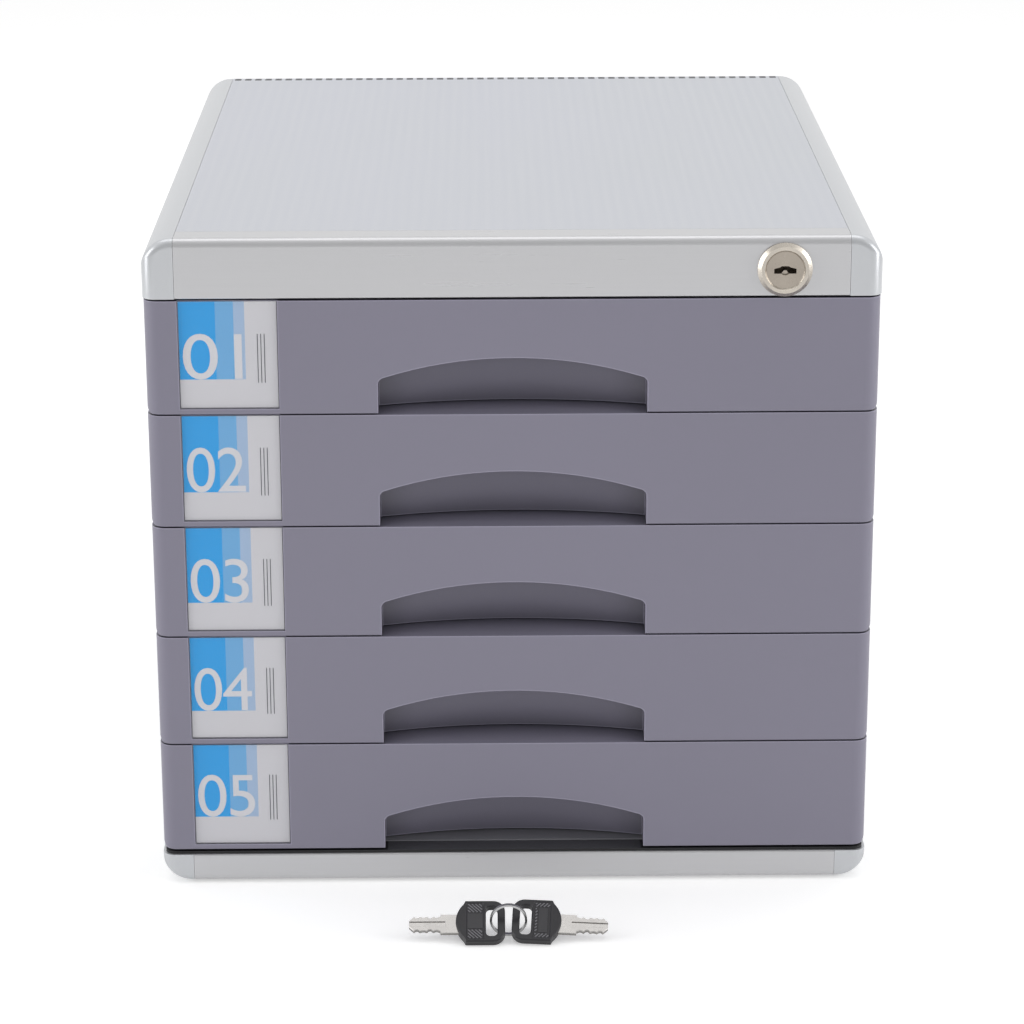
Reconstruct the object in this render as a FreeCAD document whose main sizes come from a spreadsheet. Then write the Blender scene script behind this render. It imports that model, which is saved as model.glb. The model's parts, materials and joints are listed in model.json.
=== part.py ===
import FreeCAD, Part
import math
import os
import re
import Sketcher

# A desktop cabinet with five file drawers, one lock for all of them, and two keys on a ring.
# Lengths are millimetres. The origin is on the table under the middle of the cabinet,
# +X to the right seen from the front, -Y towards the front, +Z up.

SIZES = {
    "width": 300,
    "depth": 350,
    "height": 282,
    "foot_height": 1,
    "foot_radius": 8,
    "foot_inset_x": 32,
    "foot_inset_y": 35,
    "corner_width": 13.3,
    "corner_flat": 0.8,
    "low_corner_flat": 1.3,
    "low_corner_step": 0.4,
    "inner_corner_radius": 8,
    "skin": 2.5,
    "edge_radius": 3.5,
    "fine_edge": 0.8,
    "seam": 0.15,
    "top_rail_height": 24.8,
    "low_rail_height": 12.4,
    "rail_depth": 14,
    "rail_overlap": 4,
    "tongue": 1.2,
    "tongue_reach": 2.6,
    "recess": 26.5,
    "back_sheet": 2.5,
    "back_inset": 5,
    "gap_under_rail": 0.8,
    "gap_over_low_rail": 2.4,
    "drawer_gap": 0.4,
    "front_side_gap": 0.4,
    "front_depth": 24,
    "front_wall": 2.6,
    "front_corner": 6,
    "front_low_corner": 3.5,
    "label_inset": 14.2,
    "label_width": 40.6,
    "label_rise": 2.4,
    "window_sheet": 1.1,
    "window_bevel": 1.6,
    "window_bevel_drop": 0.8,
    "card_sheet": 0.4,
    "label_play": 0.2,
    "pull_half": 55,
    "pull_side_height": 14.5,
    "pull_arch": 8.9,
    "pull_side_depth": 13,
    "pull_mid_depth": 21,
    "pull_corner": 3,
    "plate_sheet": 2,
    "plate_side_gap": 0.6,
    "plate_rise": 0.5,
    "tray_side_room": 8,
    "tray_wall": 2.2,
    "tray_rise": 3,
    "tray_drop": 4.8,
    "tray_back_room": 10,
    "tray_corner": 4,
    "lip_reach": 6,
    "lip_drop": 5,
    "lip_sheet": 2,
    "lip_start": 38,
    "running_gap": 0.3,
    "ledge_sheet": 2.5,
    "ledge_gap": 1.7,
    "runner_sheet": 2,
    "runner_start": 43,
    "runner_below": 1.8,
    "runner_above": 10.8,
    "stop_length": 4,
    "stop_gap": 0.4,
    "stop_play": 0.5,
    "kept_inside": 110,
    "tab_reach": 1.4,
    "tab_length": 10,
    "lug_start": 36,
    "lug_length": 3,
    "lug_rise": 20,
    "lug_height": 4,
    "lock_inset": 40,
    "lock_drop": 13.6,
    "rosette_radius": 11.1,
    "rosette_edge": 0.8,
    "rosette_rise": 2.2,
    "rosette_flat_radius": 9.6,
    "rosette_lip_radius": 8.2,
    "barrel_radius": 9.4,
    "barrel_length": 23.5,
    "barrel_fit": 0.1,
    "nut_half": 10.5,
    "nut_sheet": 4,
    "plug_radius": 7.6,
    "plug_fit": 0.05,
    "plug_rise": 1.5,
    "plug_length": 24,
    "keyway_half": 4.5,
    "keyway_low": 1.5,
    "keyway_notch": 0.4,
    "keyway_high": 1.3,
    "keyway_shoulder": 0.5,
    "keyway_mid": 1.4,
    "keyway_depth": 17,
    "eye_radius": 2.2,
    "eye_depth": 1.2,
    "cam_sheet": 2,
    "cam_radius": 7,
    "crank_reach": 8,
    "crank_end_radius": 3,
    "pin_radius": 1.5,
    "pin_length": 10,
    "bar_sheet": 2,
    "bar_gap": 0.9,
    "bar_start": 32,
    "bar_width": 8,
    "bar_rise": 7.6,
    "bar_above_lock": 1.6,
    "arm_below_lock": 3.9,
    "arm_above_lock": 9.2,
    "elbow_length": 7.6,
    "slot_play": 0.5,
    "hook_rise": 25.5,
    "hook_height": 10,
    "hook_sheet": 3,
    "guide_sheet": 1.4,
    "guide_gap": 0.4,
    "guide_rise": 5,
    "guide_height": 7,
    "key_x": -3,
    "key_ahead": 64,
    "head_gap": 2.2,
    "head_length": 20.5,
    "head_width": 20,
    "head_sheet": 5,
    "head_corner": 4.5,
    "head_soft": 1.2,
    "hole_centre": 6.4,
    "hole_width": 4.6,
    "hole_length": 11.5,
    "shank_length": 3,
    "shank_width": 9,
    "blade_length": 19.2,
    "blade_width": 7.6,
    "blade_sheet": 2,
    "blade_tip": 3,
    "notch_start": 1.3,
    "notch_pitch": 2.7,
    "notch_width": 1.8,
    "notch_depth": 1.1,
    "groove_rise": 0.6,
    "groove_width": 1.2,
    "groove_depth": 0.5,
    "ring_radius": 8,
    "ring_wire": 0.75,
    "ring_up": 10.4,
    "key_lift": 0.9,
    "key_draw": 0.6,
    "cut_over": 5,
}

DRAWERS = 5
GUIDED_DRAWERS = (0, 2, 4)
KEY_NOTCHES = 4
FULL_TURN = 360
RIGHT_ANGLE = 90
CRANK_ANGLE = 45
KEY_TILT = 33
RING_TILT = 121
KEY_ROLL = 3.5
NUT_SIDES = 6
CLOSE_ENOUGH = 0.001

# How a sketch names its own origin, and the points of a line, arc or circle.
ORIGIN = (-1, 1)
START, END, CENTRE = range(1, 4)

HALF = "width / 2"
INNER = "(width / 2 - corner_width)"
FLOOR = "foot_height"
TOP = "height"
RAIL_LOW = "(height - top_rail_height)"
LOW_RAIL_TOP = "(foot_height + low_rail_height)"
LOCK_X = "(width / 2 - lock_inset)"
LOCK_Z = "(height - lock_drop)"
CORNER_RADIUS = "(corner_width - corner_flat)"
LOW_CORNER_RADIUS = "min(corner_width - low_corner_flat; low_rail_height - low_corner_step)"
LABEL_DEPTH = "(window_sheet + card_sheet)"
FRONT_HALF = "(width / 2 - front_side_gap)"
WALL_INSIDE = "(width / 2 - skin)"
LABEL_LEFT = "(width / 2 - label_inset)"
LOWEST = "(foot_height + low_rail_height + gap_over_low_rail)"
DRAWER_STACK = f"({RAIL_LOW} - gap_under_rail + drawer_gap - {LOWEST})"
DRAWER_PITCH = f"({DRAWER_STACK} / {DRAWERS})"
DRAWER_HEIGHT = f"({DRAWER_PITCH} - drawer_gap)"
TRAY_HALF = f"({WALL_INSIDE} - runner_sheet - tray_side_room)"
TRAY_HEIGHT = f"({DRAWER_HEIGHT} - tray_rise - tray_drop)"
TRAY_END = "(depth - tray_back_room)"
LIP_RISE = f"(tray_rise + {TRAY_HEIGHT} - lip_drop)"
LEDGE_HALF = f"({TRAY_HALF} + ledge_gap)"
BAR_OUTER = f"({WALL_INSIDE} - bar_gap)"
TRAVEL = "(depth - kept_inside)"

doc = FreeCAD.newDocument("file_drawers")
sheet = doc.addObject("Spreadsheet::Sheet", "Sizes")
kept = []


def fill_sheet():
    """Writes each driving length into the sheet under its own name."""
    for row, (word, length) in enumerate(SIZES.items(), start=1):
        sheet.set(f"A{row}", word)
        sheet.set(f"B{row}", str(length))
        sheet.setAlias(f"B{row}", word)
    doc.recompute()


def spell(text):
    """Turns the plain names of an expression into references to the sheet."""
    def refer(found):
        word = found.group()
        return "Sizes." + word if word in SIZES else word
    return re.sub(r"[a-z_]+", refer, text)


def worth(text):
    """The number that an expression gives with the lengths in the sheet."""
    return float(sheet.evalExpression(spell(text)))


def bind(item, prop, text):
    item.setExpression(prop, spell(text))


def keep(item, label):
    """Marks an object as a sub-part and gives it its name."""
    item.Label = label
    kept.append(item)
    return item


def stand(item, x="0", y="-depth / 2", z="0"):
    """Places a sub-part that was drawn with its front at Y zero."""
    bind(item, "Placement.Base.x", x)
    bind(item, "Placement.Base.y", y)
    bind(item, "Placement.Base.z", z)


def drawer_rise(index):
    return f"({LOWEST} + {index} * {DRAWER_PITCH})"


# Primitives and booleans

def block(name, x, y, z):
    """A box that reaches from the first to the second expression on each axis."""
    item = doc.addObject("Part::Box", name)
    for side, axis, (low, high) in (("Length", "x", x), ("Width", "y", y), ("Height", "z", z)):
        bind(item, side, f"({high}) - ({low})")
        bind(item, "Placement.Base." + axis, low)
    return item


def rod(name, radius, x, y, z):
    """A cylinder that lies along Y from the first to the second expression of y."""
    item = doc.addObject("Part::Cylinder", name)
    lying = FreeCAD.Rotation(FreeCAD.Vector(1, 0, 0), -RIGHT_ANGLE)
    item.Placement = FreeCAD.Placement(FreeCAD.Vector(), lying)
    bind(item, "Radius", radius)
    bind(item, "Height", f"({y[1]}) - ({y[0]})")
    bind(item, "Placement.Base.x", x)
    bind(item, "Placement.Base.y", y[0])
    bind(item, "Placement.Base.z", z)
    return item


def post(name, radius, x, y, z):
    """A cylinder that stands along Z from the first to the second expression of z."""
    item = doc.addObject("Part::Cylinder", name)
    bind(item, "Radius", radius)
    bind(item, "Height", f"({z[1]}) - ({z[0]})")
    bind(item, "Placement.Base.x", x)
    bind(item, "Placement.Base.y", y)
    bind(item, "Placement.Base.z", z[0])
    return item


def join(name, items):
    item = doc.addObject("Part::MultiFuse", name)
    item.Shapes = items
    item.Refine = True
    return item


def group(name, items):
    """Solids that touch each other and stay apart as solids."""
    item = doc.addObject("Part::Compound", name)
    item.Links = items
    return item


def cut(name, base, tool):
    item = doc.addObject("Part::Cut", name)
    item.Base = base
    item.Tool = tool
    return item


def common(name, one, other):
    item = doc.addObject("Part::Common", name)
    item.Base = one
    item.Tool = other
    return item


def upright(edge):
    """Is this a straight edge along Z?"""
    ends = edge.Vertexes
    if edge.isClosed():
        return False
    run = ends[-1].Point - ends[0].Point
    return abs(run.x) < CLOSE_ENOUGH and abs(run.y) < CLOSE_ENOUGH and abs(run.z) > CLOSE_ENOUGH


def soften(name, base, radius, wanted):
    """Rounds the edges of a Part object for which the test holds."""
    doc.recompute()
    item = doc.addObject("Part::Fillet", name)
    item.Base = base
    size = worth(radius)
    item.Edges = [(i, size, size) for i, edge in enumerate(base.Shape.Edges, start=1) if wanted(edge)]
    return item


# Bodies drawn from sketches

def new_body(name):
    return doc.addObject("PartDesign::Body", name)


def sketch_on(body, name, role, level="0"):
    """A sketch on one of the body's origin planes, moved along that plane's normal."""
    sketch = body.newObject("Sketcher::SketchObject", name)
    plane = [item for item in body.Origin.OriginFeatures if item.Role == role][0]
    sketch.AttachmentSupport = [(plane, "")]
    sketch.MapMode = "FlatFace"
    bind(sketch, "AttachmentOffset.Base.z", level)
    return sketch


def arc_between(start, end, radius, to_left):
    """The centre of an arc from start to end that bulges to the right, or to the left, of the way."""
    middle = (start + end) / 2
    run = end - start
    half = run.Length / 2
    across = FreeCAD.Vector(-run.y, run.x, 0)
    across.normalize()
    drop = math.sqrt(max(radius * radius - half * half, 0))
    return middle - across * drop if to_left else middle + across * drop


def outline(sketch, corners):
    """Joins the corners in turn: (x, y), or (x, y, radius, to_left) where an arc follows."""
    first = sketch.GeometryCount
    points = [FreeCAD.Vector(worth(corner[0]), worth(corner[1]), 0) for corner in corners]
    starts = []
    ends = []
    for i, corner in enumerate(corners):
        here = points[i]
        there = points[(i + 1) % len(points)]
        bend = corner[2:]
        if bend:
            radius = worth(bend[0])
            to_left = bend[1]
            centre = arc_between(here, there, radius, to_left)
            one = math.atan2(here.y - centre.y, here.x - centre.x)
            two = math.atan2(there.y - centre.y, there.x - centre.x)
            circle = Part.Circle(centre, FreeCAD.Vector(0, 0, 1), radius)
            if to_left:
                one, two = two, one
            while two < one:
                two += math.radians(FULL_TURN)
            sketch.addGeometry(Part.ArcOfCircle(circle, one, two), False)
            starts.append(END if to_left else START)
            ends.append(START if to_left else END)
            rule = sketch.addConstraint(Sketcher.Constraint("Radius", first + i, radius))
            bind(sketch, f"Constraints[{rule}]", bend[0])
        else:
            sketch.addGeometry(Part.LineSegment(here, there), False)
            starts.append(START)
            ends.append(END)
    for i in range(len(corners)):
        after = (i + 1) % len(corners)
        meeting = Sketcher.Constraint("Coincident", first + i, ends[i], first + after, starts[after])
        sketch.addConstraint(meeting)
    for i, corner in enumerate(corners):
        for kind, text in (("DistanceX", corner[0]), ("DistanceY", corner[1])):
            place = Sketcher.Constraint(kind, *ORIGIN, first + i, starts[i], worth(text))
            rule = sketch.addConstraint(place)
            bind(sketch, f"Constraints[{rule}]", text)


def ring_in(sketch, x, y, radius):
    """A circle in a sketch, tied to its centre and radius."""
    index = sketch.GeometryCount
    centre = FreeCAD.Vector(worth(x), worth(y), 0)
    sketch.addGeometry(Part.Circle(centre, FreeCAD.Vector(0, 0, 1), worth(radius)), False)
    rule = sketch.addConstraint(Sketcher.Constraint("Radius", index, worth(radius)))
    bind(sketch, f"Constraints[{rule}]", radius)
    for kind, text in (("DistanceX", x), ("DistanceY", y)):
        place = Sketcher.Constraint(kind, *ORIGIN, index, CENTRE, worth(text))
        rule = sketch.addConstraint(place)
        bind(sketch, f"Constraints[{rule}]", text)


def box_corners(x, y):
    """The corners of a rectangle from its two expressions on each sketch axis."""
    return [(x[0], y[0]), (x[1], y[0]), (x[1], y[1]), (x[0], y[1])]


def pad(body, name, sketch, length, backwards=False, both_ways=False):
    item = body.newObject("PartDesign::Pad", name)
    item.Profile = sketch
    item.Reversed = backwards
    if both_ways:
        item.SideType = "Symmetric"
    bind(item, "Length", length)
    return item


def pocket(body, name, sketch, length, backwards=False):
    """Cuts away from the sketch against its plane's normal and makes sure that something went."""
    doc.recompute()
    before = body.Shape.Volume
    item = body.newObject("PartDesign::Pocket", name)
    item.Profile = sketch
    item.Reversed = backwards
    bind(item, "Length", length)
    doc.recompute()
    if body.Shape.Volume > before - CLOSE_ENOUGH:
        raise RuntimeError(name + " cuts nothing")
    return item


def turn(body, name, sketch):
    """Turns a sketch on the XY plane round the Y axis."""
    item = body.newObject("PartDesign::Revolution", name)
    item.Profile = sketch
    item.ReferenceAxis = (sketch, ["V_Axis"])
    item.Angle = FULL_TURN
    return item


def round_off(body, name, radius, wanted):
    """Rounds those edges of a body for which the test holds."""
    doc.recompute()
    tip = body.Tip
    names = [f"Edge{i}" for i, edge in enumerate(tip.Shape.Edges, start=1) if wanted(edge)]
    item = body.newObject("PartDesign::Fillet", name)
    item.Base = (tip, names)
    bind(item, "Radius", radius)
    doc.recompute()
    return item


def at(edge, **where):
    """Does the whole edge lie at the stated x, y or z?"""
    box = edge.BoundBox
    spans = {"x": (box.XMin, box.XMax), "y": (box.YMin, box.YMax), "z": (box.ZMin, box.ZMax)}
    for axis, text in where.items():
        if max(abs(end - worth(text)) for end in spans[axis]) > CLOSE_ENOUGH:
            return False
    return True


# The cabinet

def side_frame():
    """The right side: a thin wall with flanges, and closed corner blocks at the two rails."""
    body = new_body("side_body")
    wall = sketch_on(body, "side_wall_lines", "XZ_Plane", "-recess")
    outline(wall, [
        (INNER, FLOOR),
        (HALF, FLOOR),
        (HALF, TOP),
        (INNER, TOP),
        (INNER, "height - skin"),
        (WALL_INSIDE, "height - skin"),
        (WALL_INSIDE, "foot_height + skin"),
        (INNER, "foot_height + skin"),
    ])
    pad(body, "side_wall", wall, "depth - recess", backwards=True)
    for name, low, high in (("high_block", RAIL_LOW, TOP), ("low_block", FLOOR, LOW_RAIL_TOP)):
        lines = sketch_on(body, name + "_lines", "XZ_Plane")
        outline(lines, box_corners((INNER, HALF), (low, high)))
        pad(body, name, lines, "recess", backwards=True)
    round_off(body, "high_corner", CORNER_RADIUS, lambda edge: at(edge, x=HALF, z=TOP))
    round_off(body, "low_corner", LOW_CORNER_RADIUS, lambda edge: at(edge, x=HALF, z=FLOOR))
    for name, level in (("high_inner", "height - skin"), ("low_inner", "foot_height + skin")):
        round_off(body, name, "inner_corner_radius", lambda edge: at(edge, x=WALL_INSIDE, z=level))
    round_off(body, "high_front_edge", "edge_radius", lambda edge: on_high_front(edge))
    round_off(body, "low_front_edge", "edge_radius", lambda edge: on_low_front(edge))
    hollow = sketch_on(body, "high_hollow_lines", "XZ_Plane", "-skin")
    outline(hollow, [
        (INNER, RAIL_LOW + " + skin"),
        (WALL_INSIDE, RAIL_LOW + " + skin"),
        (WALL_INSIDE, "height - skin - inner_corner_radius", "inner_corner_radius", False),
        ("width / 2 - skin - inner_corner_radius", "height - skin"),
        (INNER, "height - skin"),
    ])
    pocket(body, "high_hollow", hollow, "recess - skin")
    hollow = sketch_on(body, "low_hollow_lines", "XZ_Plane", "-skin")
    outline(hollow, [
        (INNER, "foot_height + skin"),
        (f"{INNER} + tongue_reach + seam", "foot_height + skin"),
        ("width / 2 - skin - tongue", LOW_RAIL_TOP + " - skin"),
        (INNER, LOW_RAIL_TOP + " - skin"),
    ])
    pocket(body, "low_hollow", hollow, "recess - skin")
    stand(body)
    keep(body, "right_side_frame")
    twin = doc.addObject("Part::Mirroring", "left_side")
    twin.Source = body
    twin.Normal = FreeCAD.Vector(1, 0, 0)
    keep(twin, "left_side_frame")


def on_high_front(edge):
    """The outer front edges of the high corner block, along its top, its corner and its side."""
    box = edge.BoundBox
    flat = abs(box.YMin) < CLOSE_ENOUGH and abs(box.YMax) < CLOSE_ENOUGH
    high = box.ZMin > worth(RAIL_LOW) - CLOSE_ENOUGH
    outer = box.XMax > worth(HALF) - CLOSE_ENOUGH and box.ZMax > box.ZMin + CLOSE_ENOUGH
    top = box.ZMin > worth(TOP) - CLOSE_ENOUGH
    return flat and high and (outer or top)


def on_low_front(edge):
    """The outer front edges of the low corner block."""
    box = edge.BoundBox
    flat = abs(box.YMin) < CLOSE_ENOUGH and abs(box.YMax) < CLOSE_ENOUGH
    low = box.ZMax < worth(LOW_RAIL_TOP) + CLOSE_ENOUGH
    outer = box.XMax > worth(HALF) - CLOSE_ENOUGH and box.ZMax > box.ZMin + CLOSE_ENOUGH
    bottom = box.ZMax < worth(FLOOR) + CLOSE_ENOUGH
    return flat and low and (outer or bottom)


def top_front_rail():
    """The rail over the drawers: a front wall and a top flange, with the hole for the lock."""
    body = new_body("top_rail_body")
    lines = sketch_on(body, "top_rail_lines", "YZ_Plane")
    outline(lines, [
        ("0", RAIL_LOW),
        ("skin", RAIL_LOW),
        ("skin", "height - skin"),
        ("rail_depth", "height - skin"),
        ("rail_depth", TOP),
        ("0", TOP),
    ])
    pad(body, "top_rail_length", lines, f"2 * ({INNER} - seam)", both_ways=True)
    round_off(body, "top_rail_edge", "edge_radius", lambda edge: at(edge, y="0", z=TOP))
    round_off(body, "top_rail_low_edge", "fine_edge", lambda edge: at(edge, y="0", z=RAIL_LOW))
    hole = sketch_on(body, "lock_hole_lines", "XZ_Plane")
    ring_in(hole, LOCK_X, LOCK_Z, "barrel_radius + barrel_fit")
    pocket(body, "lock_hole", hole, "skin")
    stand(body)
    keep(body, "top_front_rail")


def bottom_front_rail():
    """The low rail under the drawers, a channel that is open to the back."""
    body = new_body("low_rail_body")
    lines = sketch_on(body, "low_rail_lines", "YZ_Plane")
    outline(lines, [
        ("0", FLOOR),
        ("rail_depth", FLOOR),
        ("rail_depth", "foot_height + skin"),
        ("skin", "foot_height + skin"),
        ("skin", LOW_RAIL_TOP + " - skin"),
        ("rail_depth", LOW_RAIL_TOP + " - skin"),
        ("rail_depth", LOW_RAIL_TOP),
        ("0", LOW_RAIL_TOP),
    ])
    pad(body, "low_rail_length", lines, f"2 * ({INNER} - seam)", both_ways=True)
    round_off(body, "low_rail_edge", "edge_radius", lambda edge: at(edge, y="0", z=FLOOR))
    round_off(body, "low_rail_high_edge", "fine_edge", lambda edge: at(edge, y="0", z=LOW_RAIL_TOP))
    stand(body)
    keep(body, "bottom_front_rail")


def covers():
    """The top and base panels, each a sheet between the side flanges with a tongue tucked behind them."""
    across = (f"-({INNER} - seam)", f"{INNER} - seam")
    reach = (f"-({INNER} + tongue_reach)", f"{INNER} + tongue_reach")
    along = ("rail_depth + seam", "depth")
    tucked = ("rail_depth - rail_overlap", "depth - back_sheet")
    top_inside = "height - skin"
    base_inside = "foot_height + skin"
    levels = (
        ("top_panel", (top_inside, TOP), (f"{top_inside} - tongue", top_inside)),
        ("base_panel", (FLOOR, base_inside), (base_inside, f"{base_inside} + tongue")),
    )
    for name, outside, inside in levels:
        plate = block(name + "_plate", across, along, outside)
        tongue = block(name + "_tongue", reach, tucked, inside)
        panel = join(name + "_sheets", [plate, tongue])
        stand(panel)
        keep(panel, name)


def back_panel():
    """The sheet that closes the back between the two sides."""
    plate = block(
        "back_plate",
        (f"-{WALL_INSIDE}", WALL_INSIDE),
        ("depth - back_sheet", "depth"),
        ("foot_height + skin", "height - skin"),
    )
    rounded = soften("back_rounded", plate, "inner_corner_radius", runs_back)
    stand(rounded)
    keep(rounded, "back_panel")


def runs_back(edge):
    """Is this an edge along Y?"""
    box = edge.BoundBox
    return box.XLength < CLOSE_ENOUGH and box.ZLength < CLOSE_ENOUGH


def feet():
    """Four round pads under the base panel."""
    pads = []
    for side in ("-1", "1"):
        for name, back in (("front", "foot_inset_y"), ("back", "depth - foot_inset_y")):
            x = f"{side} * (width / 2 - foot_inset_x)"
            pads.append(post(f"foot_{name}_{len(pads)}", "foot_radius", x, back, ("0", FLOOR)))
    whole = join("feet_joined", pads)
    stand(whole)
    keep(whole, "feet")


def runner_frames():
    """The plates with a slot-shaped runner for each drawer, on the inside of the two sides."""
    plate = block(
        "runner_plate",
        (WALL_INSIDE + " - runner_sheet", WALL_INSIDE),
        ("runner_start", "depth - back_inset"),
        (LOWEST + " - runner_below", RAIL_LOW + " + runner_above"),
    )
    pieces = [plate]
    inside = WALL_INSIDE + " - runner_sheet"
    stop_half = TRAY_HALF + " + lip_reach + stop_gap"
    for index in range(DRAWERS):
        rise = drawer_rise(index)
        under = f"{rise} + {LIP_RISE} - running_gap"
        over = f"{rise} + {LIP_RISE} + lip_sheet + running_gap"
        along = ("runner_start", "depth - back_inset")
        across = (LEDGE_HALF, inside)
        pieces.append(block(f"ledge_low_{index}", across, along, (f"{under} - ledge_sheet", under)))
        pieces.append(block(f"ledge_high_{index}", across, along, (over, f"{over} + ledge_sheet")))
        stop = ("runner_start", "runner_start + stop_length")
        pieces.append(block(f"stop_{index}", (stop_half, inside), stop, (under, over)))
    frame = join("runner_pieces", pieces)
    stand(frame)
    keep(frame, "right_runner_frame")
    twin = doc.addObject("Part::Mirroring", "left_runner")
    twin.Source = frame
    twin.Normal = FreeCAD.Vector(1, 0, 0)
    keep(twin, "left_runner_frame")


# The lock and the bar that it moves

def lock_housing():
    """The fixed shell of the lock: bevelled ring in front of the rail and barrel behind it."""
    body = new_body("housing_body")
    bore = "plug_radius + plug_fit"
    lines = sketch_on(body, "housing_lines", "XY_Plane")
    outline(lines, [
        (bore, "-plug_rise"),
        ("rosette_lip_radius", "-rosette_rise"),
        ("rosette_flat_radius", "-rosette_rise"),
        ("rosette_radius", "-rosette_edge"),
        ("rosette_radius", "0"),
        ("barrel_radius", "0"),
        ("barrel_radius", "barrel_length"),
        (bore, "barrel_length"),
    ])
    turn(body, "housing_turn", lines)
    stand(body, x=LOCK_X, z=LOCK_Z)
    keep(body, "lock_housing")


def lock_nut():
    """The six-sided nut that clamps the barrel behind the rail."""
    body = new_body("nut_body")
    lines = sketch_on(body, "nut_lines", "XZ_Plane", "-skin")
    corner = f"nut_half / cos({FULL_TURN / 2 / NUT_SIDES})"
    outline(lines, [
        (f"-({corner})", "0"),
        (f"-({corner}) / 2", "-nut_half"),
        (f"{corner} / 2", "-nut_half"),
        (corner, "0"),
        (f"{corner} / 2", "nut_half"),
        (f"-({corner}) / 2", "nut_half"),
    ])
    ring_in(lines, "0", "0", "barrel_radius + barrel_fit")
    pad(body, "nut_length", lines, "nut_sheet", backwards=True)
    stand(body, x=LOCK_X, z=LOCK_Z)
    keep(body, "lock_nut")


def lock_plug():
    """The turning plug with its keyway, drawn round its own axis."""
    body = new_body("plug_body")
    lines = sketch_on(body, "plug_lines", "XY_Plane")
    outline(lines, box_corners(("0", "plug_radius"), ("-plug_rise", "plug_length")))
    turn(body, "plug_turn", lines)
    face = "plug_rise"
    way = sketch_on(body, "keyway_lines", "XZ_Plane", face)
    outline(way, [
        ("-keyway_half", "-keyway_low"),
        ("-keyway_mid", "-keyway_low"),
        ("-keyway_shoulder", "-keyway_notch"),
        ("keyway_shoulder", "-keyway_notch"),
        ("keyway_mid", "-keyway_low"),
        ("keyway_half", "-keyway_low"),
        ("keyway_half", "keyway_shoulder"),
        ("keyway_mid", "keyway_high"),
        ("-keyway_mid", "keyway_high"),
        ("-keyway_half", "keyway_shoulder"),
    ])
    pocket(body, "keyway", way, "keyway_depth")
    eye = sketch_on(body, "eye_lines", "XZ_Plane", face)
    ring_in(eye, "0", "0", "eye_radius")
    pocket(body, "eye", eye, "eye_depth")
    stand(body, x=LOCK_X, z=LOCK_Z)
    keep(body, "lock_plug")


def lock_cam():
    """The crank on the back of the plug, with the pin that moves the bar."""
    across = f"crank_reach * cos({CRANK_ANGLE})"
    upward = f"crank_reach * sin({CRANK_ANGLE})"
    sheet_span = ("plug_length", "plug_length + cam_sheet")
    disc = rod("cam_disc", "cam_radius", "0", sheet_span, "0")
    end = rod("cam_end", "crank_end_radius", across, sheet_span, upward)
    pin_span = ("plug_length", "plug_length + cam_sheet + pin_length")
    pin = rod("cam_pin", "pin_radius", across, pin_span, upward)
    cam = join("cam_pieces", [disc, end, pin])
    stand(cam, x=LOCK_X, z=LOCK_Z)
    keep(cam, "lock_cam")


def lock_bar():
    """The bar that the crank lifts and lowers: a strip, an arm and five hooks spot-welded to each other."""
    upward = f"crank_reach * sin({CRANK_ANGLE})"
    near = f"crank_reach * cos({CRANK_ANGLE})"
    bar_inner = BAR_OUTER + " - bar_sheet"
    strip_depth = ("bar_start", "bar_start + bar_width")
    bar_high = LOCK_Z + " + bar_above_lock"
    arm_low = LOCK_Z + " - arm_below_lock"
    arm_high = LOCK_Z + " + arm_above_lock"
    arm_step = BAR_OUTER + " - elbow_length"
    strip = block("bar_strip", (bar_inner, BAR_OUTER), strip_depth, (LOWEST + " + bar_rise", bar_high))
    arm_depth = ("bar_start", "bar_start + bar_sheet")
    arm = block("bar_arm", (LOCK_X, arm_step), arm_depth, (arm_low, arm_high))
    elbow = block("bar_elbow", (arm_step, bar_inner), arm_depth, (arm_low, bar_high))
    crank_arm = join("bar_crank_arm", [arm, elbow])
    reach = "(pin_radius + slot_play)"
    slot = block(
        "bar_slot",
        (f"{LOCK_X} + {near} - {reach}", f"{LOCK_X} + crank_reach + {reach}"),
        ("bar_start - cut_over", "bar_start + cut_over"),
        (f"{LOCK_Z} + {upward} - {reach}", f"{LOCK_Z} + {upward} + {reach}"),
    )
    pieces = [strip, cut("bar_slotted_arm", crank_arm, slot)]
    for index in range(DRAWERS):
        rise = drawer_rise(index)
        pieces.append(block(
            f"hook_{index}",
            (LEDGE_HALF, bar_inner),
            ("bar_start", "bar_start + hook_sheet"),
            (f"{rise} + hook_rise", f"{rise} + hook_rise + hook_height"),
        ))
    bar = group("bar_group", pieces)
    stand(bar)
    keep(bar, "lock_bar")


def bar_guides():
    """Three staples on the right wall that keep the bar upright."""
    pieces = []
    inner = BAR_OUTER + " - bar_sheet - guide_gap"
    across = (f"{inner} - guide_sheet", WALL_INSIDE)
    front = "bar_start - guide_gap"
    back = "bar_start + bar_width + guide_gap"
    for index in GUIDED_DRAWERS:
        rise = drawer_rise(index)
        level = (f"{rise} + guide_rise", f"{rise} + guide_rise + guide_height")
        pieces.append(block(f"guide_front_{index}", across, (f"{front} - guide_sheet", front), level))
        pieces.append(block(f"guide_back_{index}", across, (back, f"{back} + guide_sheet"), level))
        pieces.append(block(
            f"guide_cover_{index}",
            (f"{inner} - guide_sheet", inner),
            (f"{front} - guide_sheet", f"{back} + guide_sheet"),
            level,
        ))
    whole = join("guide_pieces", pieces)
    stand(whole)
    keep(whole, "lock_bar_guides")


# One drawer

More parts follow.
